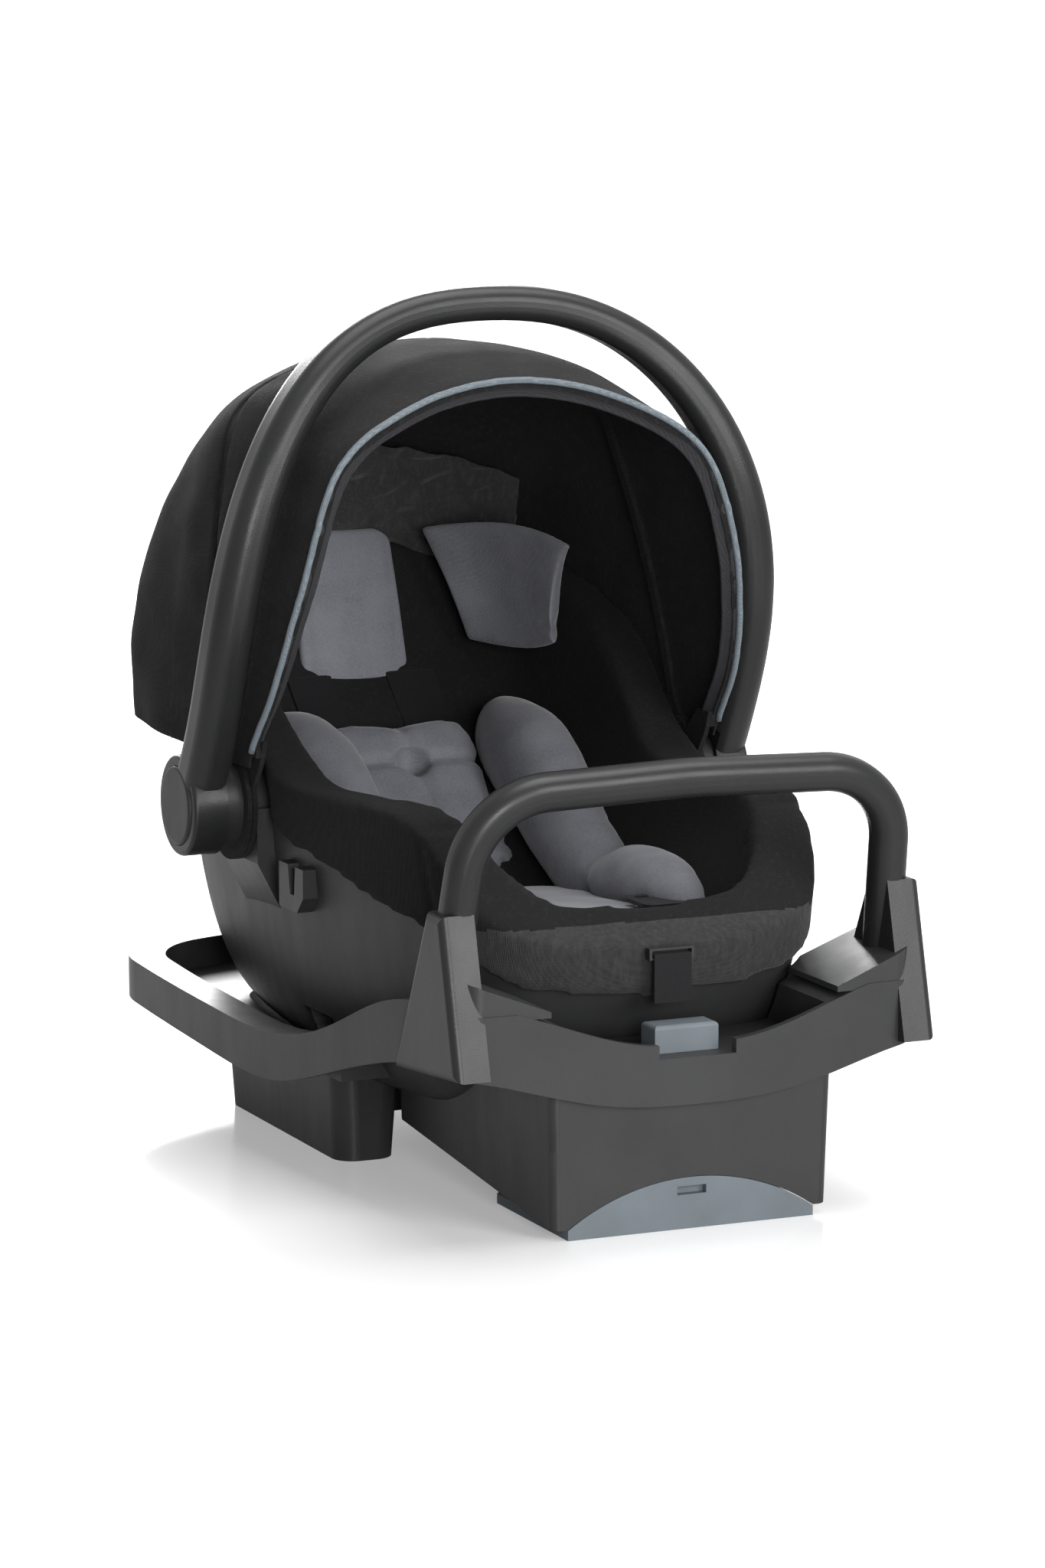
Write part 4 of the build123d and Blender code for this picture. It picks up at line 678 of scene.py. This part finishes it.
def canopy_grid(columns, rows_front, rows_rear):
    """Rows of points over the canopy, from its front edge to its rear edge."""
    arches = []
    for arch in CANOPY_ARCHES:
        flat = arch_outline(arch, columns)
        lean = math.radians(arch[2])
        arches.append(np.stack([flat[:, 0], arch[0] + flat[:, 1] * math.sin(lean),
                                arch[1] + flat[:, 1] * math.cos(lean)], axis=1))
    arches = np.array(arches)
    step = np.linalg.norm(np.diff(arches[:, columns // 4:3 * columns // 4], axis=0), axis=2).mean(axis=1)
    place = np.concatenate([[0], np.cumsum(step)])
    fine = np.linspace(0, place[-1], 500)
    dense = cubic(place, arches, fine)
    heights, ahead = zip(*FRONT_EDGE)
    level = np.clip(dense[:, :, 2], heights[0], heights[-1])
    edge = cubic(heights, ahead, level.ravel()).reshape(level.shape)
    start = fine[np.argmax(dense[:, :, 1] > edge, axis=0)]
    joint = place[JOINT_ARCH]
    wants = [start + (joint - start) * share for share in np.linspace(0, 1, rows_front, endpoint=False)]
    wants += [np.full(columns, want) for want in np.linspace(joint, place[-1], rows_rear)]
    return np.array([[[np.interp(want[k], fine, dense[:, k, i]) for i in range(3)] for k in range(columns)]
                     for want in wants])


def grid_faces(rows, columns):
    return [(r * columns + k, (r + 1) * columns + k, (r + 1) * columns + k + 1, r * columns + k + 1)
            for r in range(rows - 1) for k in range(columns - 1)]


def cut(obj, point, normal, keep_front):
    """Cuts a piece with a plane and keeps one side."""
    bm = bmesh.new()
    bm.from_mesh(obj.data)
    bmesh.ops.bisect_plane(bm, geom=bm.verts[:] + bm.edges[:] + bm.faces[:], plane_co=point, plane_no=normal,
                           clear_outer=not keep_front, clear_inner=keep_front)
    bm.to_mesh(obj.data)
    bm.free()
    obj.data.polygons.foreach_set("use_smooth", [True] * len(obj.data.polygons))
    return obj


def layered(obj, thickness):
    m = obj.modifiers.new("Solidify", "SOLIDIFY")
    m.thickness = thickness
    m.offset = -1.0
    return baked(obj)


def bow_distance(co):
    """Distance behind the middle bow's plane; negative is ahead of it."""
    return (co[:, 1] - PIVOT.y) * math.cos(MID_BOW_LEAN) - (co[:, 2] - PIVOT.z) * math.sin(MID_BOW_LEAN)


def canopy_folds(co):
    """Tension folds of the cloth, gathered at the bow and slack towards the sides."""
    behind = bow_distance(co)
    low = np.clip((0.52 - co[:, 2]) / 0.2, 0, 1)
    gather = np.sin(co[:, 0] * 95 + rumple(co, 0.03, 2) * 2.2) * np.exp(-np.abs(behind) / 0.035)
    slack = rumple(co * [1.0, 0.45, 1.0], 0.032, 5) * (0.4 + low)
    seam = ditch(behind, 0.0035)
    return 0.0009 * gather + 0.0022 * slack - 0.0026 * seam + 0.0012 * rumple(co, 0.08, 7)


def binding_tape(edge, radius, across=6):
    """Tape that lines the front edge, just inside the piping."""
    centre = Vector((0, 0.02, 0.40))
    width = sizes().binding
    line = [Vector(p) for p in along(edge, EDGE_STEP)]
    points = []
    for p in line:
        inward = centre - p
        inward.y = 0
        inward.normalize()
        for t in np.linspace(0, 1, across):
            curl = Vector((0, 0.004, 0)) * math.sin(t * math.pi * 0.5) ** 2
            points.append(p + Vector((0, 0.0005, 0)) + inward * (radius * 0.6 + width * t) + curl)
    tape = mesh_piece("canopy_edge_binding", points, grid_faces(len(line), across))
    m = tape.modifiers.new("Solidify", "SOLIDIFY")
    m.thickness = 0.003
    m.offset = 0.0
    return bevelled(tape, 0.0012)


class CARSEAT_OT_canopy(bpy.types.Operator):
    """Make the canopy's cloth, piping and binding"""

    bl_idname = "carseat.canopy"
    bl_label = "Canopy"

    def execute(self, context):
        columns = 121
        grid = canopy_grid(columns, 56, 60)
        points = grid.reshape(-1, 3)
        edge = [Vector(p) for p in grid[0] if p[2] > CANOPY_EDGE - 0.002]
        lean = (0, math.cos(MID_BOW_LEAN), -math.sin(MID_BOW_LEAN))
        plans = [
            ("canopy_front_cloth", False, ["canopy_front_panel"]),
            ("canopy_rear_cloth", True, ["canopy_crown_panel", "canopy_rear_panel"]),
        ]
        for name, behind, nodes in plans:
            cloth = mesh_piece(name, points, grid_faces(len(grid), columns))
            cut(cloth, (0, 0, CANOPY_EDGE - CANOPY_HEM), (0, 0, 1), True)
            cut(cloth, PIVOT, lean, behind)
            pushed(cloth, canopy_folds)
            layered(cloth, sizes().cloth)
            dressed(cloth, finish("canopy_cloth"), None, nodes)
            if behind:
                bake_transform(cloth)
            else:
                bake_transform(cloth)
        radius = sizes().piping
        run = [p + Vector((0, -0.0012, 0)) for p in along(edge, EDGE_STEP)]
        piping = tube("canopy_piping_cord", run, radius, 12)
        dressed(piping, finish("piping_cord"), "canopy_front", ["canopy_piping"])
        tape = binding_tape(edge, radius)
        dressed(tape, finish("edge_binding"), "canopy_front")
        return {"FINISHED"}


# Seat cover and inserts

CUSHION_DEEP = 0.018  # depth of the head panel and the head wings
CUSHION_RIM = 6  # mesh rows at each rim over which a cushion thins
MELANGE_END, MELANGE_TOP, MELANGE_HALF = -0.235, 0.205, 0.14  # Y, Z and half width of the cover's lighter end
BACK_FOOT, BACK_HEAD = Vector((0, 0.056, 0.170)), Vector((0, 0.176, 0.282))  # ends of the back pad
BACK_UP = (0.731, 0.682)  # Y and Z of the way up the back pad
BACK_TUFTS = (0.26, 0.74)  # places of the tufts and channels on that way


def pad(node, name, rounds, material="insert_knit", shape=None, voxel=None,
        swell=True):
    """Padded piece with the form of its CAD solid: rounded, filled, then sewn and rumpled."""
    piece = node_copy(node, name)
    remeshed(piece, voxel or sizes().voxel)
    shrunk(piece, node)
    smoothed(piece, rounds)
    if swell:
        filled(piece)
    if shape:
        pushed(piece, shape)
    finer(piece)
    dressed(piece, finish(material), "carrier", [node])
    return piece


def cover_folds(co):
    """Slack folds of the cover and the sewn line across its foot end."""
    folds = rumple(co * [1.0, 0.5, 1.0], 0.05, 3) * 0.0026
    seam = ditch(np.abs(co[:, 1] + 0.212 - (co[:, 2] - 0.25) * 0.3), 0.004) * (np.abs(co[:, 0]) > 0.1)
    return folds - 0.0022 * seam


def melange_index(centre):
    """Material of a face of the cover: 1 in the lighter foot end, 0 elsewhere."""
    end = MELANGE_END - max(0.0, abs(centre.x) - 0.08) * 0.15
    return int(centre.y < end and centre.z < MELANGE_TOP and abs(centre.x) < MELANGE_HALF)


class CARSEAT_OT_cover(bpy.types.Operator):
    """Make the seat cover"""

    bl_idname = "carseat.cover"
    bl_label = "Seat cover"

    def execute(self, context):
        cover = pad("seat_cover", "seat_cover_cloth", 10, material="cover_cloth",
                    shape=cover_folds, voxel=0.0048, swell=False)
        cover.data.materials.append(finish("cover_melange"))
        faces = cover.data.polygons
        faces.foreach_set("material_index", [melange_index(p.center) for p in faces])
        return {"FINISHED"}


def back_sewing(co):
    """Tufts and sewn channels of the back pad."""
    total = np.zeros(len(co))
    for share in BACK_TUFTS:
        p = BACK_FOOT.lerp(BACK_HEAD, share)
        along_pad = (co[:, 1] - p.y) * BACK_UP[0] + (co[:, 2] - p.z) * BACK_UP[1]
        total -= 0.0045 * ditch(along_pad, 0.0055)
        away = np.hypot(co[:, 0], along_pad)
        total -= 0.0075 * ditch(away, 0.012)
    pillow = np.cos(co[:, 0] / 0.056 * math.pi)
    total -= 0.0035 * ditch(co[:, 0], 0.005)
    return total + rumple(co, 0.022, 4) * 0.0011 - 0.001 * pillow


def seat_sewing(co):
    """Soft folds and the sewn hem at the foot end."""
    hem = ditch(np.abs(co[:, 1] + 0.166), 0.004)
    return -0.0025 * hem + rumple(co, 0.03, 6) * 0.0012


def bolster_sewing(co):
    """Soft folds, and the fullness that smoothing took away."""
    return 0.0038 + rumple(co, 0.035, 8) * 0.0016 + rumple(co, 0.012, 12) * 0.0004


def wing_sewing(co):
    """Soft folds and the short sewn dart low on the front edge."""
    dart = line_distance(co * [0, 1, 1], [(0, 0.108, 0.340), (0, 0.150, 0.351)])
    return rumple(co, 0.05, 11) * 0.0012 - 0.0030 * ditch(dart, 0.0035)


def panel_sewing(co):
    """Soft folds and a sewn line near each side."""
    rim = ditch(np.abs(np.abs(co[:, 0]) - 0.037), 0.003)
    return rumple(co, 0.03, 13) * 0.0008 - 0.0012 * rim


def panel_points(columns=30, rows=40):
    """Face of the head panel, with rounded corners, on the front of its CAD form."""
    foot, head = np.array((0.252, 0.282)), np.array((0.290, 0.412))
    rise = head - foot
    length = np.linalg.norm(rise)
    ahead = np.array((-rise[1], rise[0])) / length
    front = ((positions(NODES["head_panel"])[:, 1:] - foot) @ ahead).max() - 0.002
    wide, taper, corner = 0.045, 0.004, 0.013
    grid = []
    for v in np.linspace(0, 1, rows):
        short = max(0.0, corner - min(v, 1 - v) * length)
        half = wide - taper * v - corner + math.sqrt(corner ** 2 - short ** 2)
        y, z = foot + rise * v + ahead * front
        x = np.linspace(-half, half, columns)
        grid.append(np.stack([x, np.full(columns, y), np.full(columns, z)], axis=1))
    return np.array(grid)


def wing_points(side, columns=34, rows=24):
    """Face of a head wing, from its root beside the head panel to its pointed front edge."""
    top = [(0.058, 0.268, 0.412), (0.080, 0.222, 0.421), (0.101, 0.158, 0.422), (0.113, 0.112, 0.413)]
    low = [(0.084, 0.236, 0.328), (0.096, 0.205, 0.327), (0.106, 0.160, 0.330), (0.108, 0.128, 0.338)]
    share = np.linspace(0, 1, columns)
    knots = [0, 0.33, 0.7, 1]
    upper = cubic(knots, np.array(top), share)
    lower = cubic(knots, np.array(low), share)
    grid = []
    for v in np.linspace(0, 1, rows):
        row = lower * (1 - v) + upper * v
        belly = math.sin(v * math.pi) * np.sin(share * math.pi * 0.9 + 0.2)
        row = row + np.outer(belly, (0.010, 0.012, 0))
        row[:, 1] += 0.016 * np.clip((share - 0.72) / 0.28, 0, 1) ** 2 * math.sin(v * math.pi) ** 0.6
        grid.append(row * [side, 1, 1])
    return np.array(grid)


def cushion(name, grid, thickness, away):
    """Closed cushion with a face given as a grid and a back moved away from it, thin at the rim."""
    rows, columns = grid.shape[:2]
    u = np.linspace(0, 1, columns)[None, :]
    v = np.linspace(0, 1, rows)[:, None]
    rim_u = np.minimum(u, 1 - u) * columns / CUSHION_RIM
    rim_v = np.minimum(v, 1 - v) * rows / CUSHION_RIM
    full = np.clip(np.minimum(rim_u, rim_v), 0, 1) ** 0.5
    face = grid - full[..., None] * np.array(away) * thickness * 0.25
    back = grid + (0.25 + 0.75 * full[..., None]) * np.array(away) * thickness
    count = rows * columns
    faces = grid_faces(rows, columns)
    faces += [tuple(i + count for i in f[::-1]) for f in grid_faces(rows, columns)]
    ring = ([(0, k) for k in range(columns)] + [(r, columns - 1) for r in range(1, rows)]
            + [(rows - 1, k) for k in range(columns - 2, -1, -1)] + [(r, 0) for r in range(rows - 2, 0, -1)])
    loop = [r * columns + k for r, k in ring]
    for a, b in zip(loop, loop[1:] + loop[:1]):
        faces.append((a, b, b + count, a + count))
    piece = mesh_piece(name, np.concatenate([face.reshape(-1, 3), back.reshape(-1, 3)]), faces)
    bm = bmesh.new()
    bm.from_mesh(piece.data)
    bmesh.ops.recalc_face_normals(bm, faces=bm.faces)
    bm.to_mesh(piece.data)
    bm.free()
    return piece


def sewn_cushion(node, name, grid, away, sewing):
    """Cushion with a listed face in place of a CAD node."""
    piece = cushion(name, grid, CUSHION_DEEP, away)
    pushed(piece, sewing)
    finer(piece)
    dressed(piece, finish("insert_knit"), "carrier", [node])
    return piece


def lining_points(columns, rows):
    """Rows of points on the lining before it is gathered, from its foot up."""
    x = np.linspace(-0.138, 0.138, columns)
    grid = []
    for v in np.linspace(0, 1, rows):
        y = 0.300 - 0.028 * v - 0.9 * np.abs(x) ** 2 * (1.0 - 0.2 * v)
        z = 0.398 + 0.078 * v - 1.6 * x ** 2
        grid.append(np.stack([x, y, z], axis=1))
    return np.array(grid)


def lining_folds(co):
    """Sharp ridges, broad swells and fine creases of gathered cloth."""
    ridge = 1 - np.abs(rumple(co * [0.7, 1, 1.3], 0.022, 21)) * 2
    return ridge * 0.0075 + rumple(co, 0.05, 23) * 0.010 + rumple(co, 0.009, 25) * 0.0016


class CARSEAT_OT_lining(bpy.types.Operator):
    """Make the gathered lining behind the head"""

    bl_idname = "carseat.lining"
    bl_label = "Gathered lining"

    def execute(self, context):
        columns, rows = 110, 44
        points = lining_points(columns, rows).reshape(-1, 3)
        lining = mesh_piece("gathered_lining", points, grid_faces(rows, columns))
        pushed(lining, lining_folds)
        finer(lining)
        layered(lining, 0.0012)
        dressed(lining, finish("gather_cloth"), "carrier")
        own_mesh(lining)
        return {"FINISHED"}


class CARSEAT_OT_inserts(bpy.types.Operator):
    """Make the grey pads, bolsters, head panel and head wings"""

    bl_idname = "carseat.inserts"
    bl_label = "Padded inserts"

    def execute(self, context):
        pad("back_pad", "back_cushion", 8, shape=back_sewing, voxel=0.0032)
        pad("seat_pad", "seat_cushion", 8, shape=seat_sewing)
        sewn_cushion("head_panel", "head_cushion", panel_points(), (0, 0.96, -0.28), panel_sewing)
        for side in ("left", "right"):
            pad("bolster_" + side, "side_bolster_" + side, 46, shape=bolster_sewing)
            sign = 1 if side == "right" else -1
            away = (sign * 0.8, 0.55, 0)
            sewn_cushion("head_wing_" + side, "head_wing_pad_" + side, wing_points(sign), away, wing_sewing)
        return {"FINISHED"}


# Harness

class CARSEAT_OT_harness(bpy.types.Operator):
    """Make the harness straps and the crotch pad"""

    bl_idname = "carseat.harness"
    bl_label = "Harness"

    def execute(self, context):
        straps = {
            "shoulder_strap_left": "harness_strap_left",
            "shoulder_strap_right": "harness_strap_right",
            "adjuster_strap": "adjuster_tail",
        }
        for node, name in straps.items():
            strap = bevelled(node_copy(node, name), 0.0006)
            dressed(strap, finish("strap_webbing"), "carrier", [node])
        pad("crotch_pad", "crotch_cushion", 4, material="cover_cloth", voxel=0.0028)
        return {"FINISHED"}


# Button springs

def coil(name, low, high, axis, turns=3.5, wire=0.0008):
    """Coil spring that fills a box along one of its axes."""
    across = [i for i in range(3) if i != axis]
    radius = (high[across[0]] - low[across[0]]) / 2 - wire
    points = []
    for t in np.linspace(0, 1, int(turns * 28)):
        turn = 2 * math.pi * turns * t
        p = [0.0, 0.0, 0.0]
        p[axis] = low[axis] + wire + (high[axis] - low[axis] - 2 * wire) * t
        for i, part in zip(across, (math.cos(turn), math.sin(turn))):
            p[i] = (low[i] + high[i]) / 2 + radius * part
        points.append(p)
    return tube(name, points, wire, 8)


class CARSEAT_OT_springs(bpy.types.Operator):
    """Make the coil springs under the buttons"""

    bl_idname = "carseat.springs"
    bl_label = "Button springs"

    def execute(self, context):
        plans = [
            ("handle_spring_left", "handle_coil_left", "handle_press_left", 0, True, "handle"),
            ("handle_spring_right", "handle_coil_right", "handle_press_right", 0, False, "handle"),
            ("foot_button_spring", "foot_button_coil", "foot_button_press", 2, False, "base"),
        ]
        for node, name, joint, axis, from_high, body in plans:
            low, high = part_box(node)
            spring = coil(name, low, high, axis)
            dressed(spring, finish("plated_steel"), body, [node])
            line = Vector((0, 0, 0))
            line[axis] = 1
            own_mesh(spring)
        return {"FINISHED"}


# Stage

FLOOR_HALF = 90.0  # half width of the floor, whose edge stays out of sight
GLOW_NEAR, GLOW_FAR = 0.40, 1.7  # distances between which the floor's glow rises
LIGHT_AIM = Vector((0, 0, 0.3))


def placed(obj, place, direction):
    """Puts a lamp or the camera at a place, looking in a direction."""
    obj.location = place
    obj.rotation_mode = "QUATERNION"
    obj.rotation_quaternion = direction.to_track_quat("-Z", "Y")
    return obj


def studio_floor(s):
    """White floor with a glow that only the camera sees, stronger farther out."""
    h = FLOOR_HALF
    floor = mesh_piece("studio_floor", [(-h, -h, 0), (h, -h, 0), (h, h, 0), (-h, h, 0)], [(0, 1, 2, 3)], False)
    f = Finish("studio_floor")
    f.colour(f.mix(f.noise(0.8, 2), shade(s.floor, 0.995), tuple(s.floor)))
    f.set(Roughness=0.16, Specular_IOR_Level=0.35)
    f.set(Emission_Color=(1, 1, 1, 1))
    away = f.nodes.new("ShaderNodeVectorMath")
    away.operation = "LENGTH"
    f.links.new(f.coords, away.inputs[0])
    glow = f.spread(away.outputs["Value"], GLOW_NEAR, GLOW_FAR, s.glow_near, s.glow_far)
    seen = f.nodes.new("ShaderNodeLightPath").outputs["Is Camera Ray"]
    f.links.new(f.math("MULTIPLY", seen, glow), f.shader.inputs["Emission Strength"])
    floor.data.materials.append(f.material)


def studio_world(s):
    """White for the camera, reflections and see-through rays, and a faint light for the rest."""
    world = bpy.data.worlds.new("studio_world")
    world.use_nodes = True
    nodes, links = world.node_tree.nodes, world.node_tree.links
    back = nodes["Background"]
    path = nodes.new("ShaderNodeLightPath")
    level = nodes.new("ShaderNodeMapRange")
    level.inputs["To Min"].default_value = s.ambient
    level.inputs["To Max"].default_value = 1.0
    seen = path.outputs["Is Camera Ray"]
    for kind in ("Is Glossy Ray", "Is Transmission Ray"):
        either = nodes.new("ShaderNodeMath")
        either.operation = "MAXIMUM"
        links.new(seen, either.inputs[0])
        links.new(path.outputs[kind], either.inputs[1])
        seen = either.outputs[0]
    links.new(seen, level.inputs["Value"])
    links.new(level.outputs["Result"], back.inputs["Strength"])
    back.inputs["Color"].default_value = (1, 1, 1, 1)
    return world


def studio_lights(s):
    lamps = [
        ("top_light", (0.35, -0.25, 2.6), 2.0, s.key),
        ("front_light", (1.1, -3.0, 1.25), 1.7, s.fill),
        ("camera_light", (-0.75, -3.1, 0.75), 1.1, s.side),
        ("rear_light", (0.6, 3.2, 1.5), 1.6, s.rear),
    ]
    for name, place, width, power in lamps:
        lamp = bpy.data.lights.new(name, "AREA")
        lamp.shape = "DISK"
        lamp.size = width
        lamp.energy = power
        placed(link(bpy.data.objects.new(name, lamp)), place, LIGHT_AIM - Vector(place))


def studio_camera(s):
    a, e = s.azimuth, s.elevation
    away = Vector((math.sin(a) * math.cos(e), -math.cos(a) * math.cos(e), math.sin(e)))
    right = Vector((math.cos(a), math.sin(a), 0))
    up = away.cross(right)
    camera = bpy.data.cameras.new("studio_camera")
    camera.sensor_width = 36.0
    camera.lens = s.lens
    camera.clip_end = 200.0
    place = away * s.distance + right * s.offset[0] + Vector((0, s.offset[1], 0)) + up * s.offset[2]
    return placed(link(bpy.data.objects.new("studio_camera", camera)), place, -away)


class CARSEAT_OT_stage(bpy.types.Operator):
    """Make the floor, the lights and the camera"""

    bl_idname = "carseat.stage"
    bl_label = "Stage"

    def execute(self, context):
        scene = context.scene
        s = scene.carseat_stage
        studio_floor(s)
        scene.world = studio_world(s)
        studio_lights(s)
        scene.camera = studio_camera(s)
        scene.view_settings.view_transform = "Standard"
        return {"FINISHED"}


class CARSEAT_PT_panel(bpy.types.Panel):
    """Pieces and settings of the car seat"""

    bl_idname = "CARSEAT_PT_panel"
    bl_label = "Car Seat"
    bl_space_type = "VIEW_3D"
    bl_region_type = "UI"
    bl_category = "Car Seat"

    def draw(self, context):
        layout = self.layout
        for operator in OPERATORS:
            layout.operator(operator.bl_idname)
        for group in (context.scene.carseat_colours, context.scene.carseat_sizes, context.scene.carseat_stage):
            box = layout.box()
            for name in group.__annotations__:
                box.prop(group, name)


OPERATORS = [
    CARSEAT_OT_finishes,
    CARSEAT_OT_canopy,
    CARSEAT_OT_cover,
    CARSEAT_OT_inserts,
    CARSEAT_OT_lining,
    CARSEAT_OT_harness,
    CARSEAT_OT_springs,
    CARSEAT_OT_stage,
]
GROUPS = {"carseat_colours": CarSeatColours, "carseat_sizes": CarSeatSizes, "carseat_stage": CarSeatStage}


def register():
    for cls in [*GROUPS.values(), *OPERATORS, CARSEAT_PT_panel]:
        bpy.utils.register_class(cls)
    for name, cls in GROUPS.items():
        setattr(bpy.types.Scene, name, bpy.props.PointerProperty(type=cls))


def unregister():
    for name in GROUPS:
        delattr(bpy.types.Scene, name)
    for cls in [CARSEAT_PT_panel, *OPERATORS[::-1], *GROUPS.values()]:
        bpy.utils.unregister_class(cls)


def main():
    register()
    bpy.ops.carseat.finishes()
    bpy.ops.carseat.canopy()
    bpy.ops.carseat.cover()
    bpy.ops.carseat.inserts()
    bpy.ops.carseat.lining()
    bpy.ops.carseat.harness()
    bpy.ops.carseat.springs()
    bpy.ops.carseat.stage()


if __name__ == "__main__":
    main()
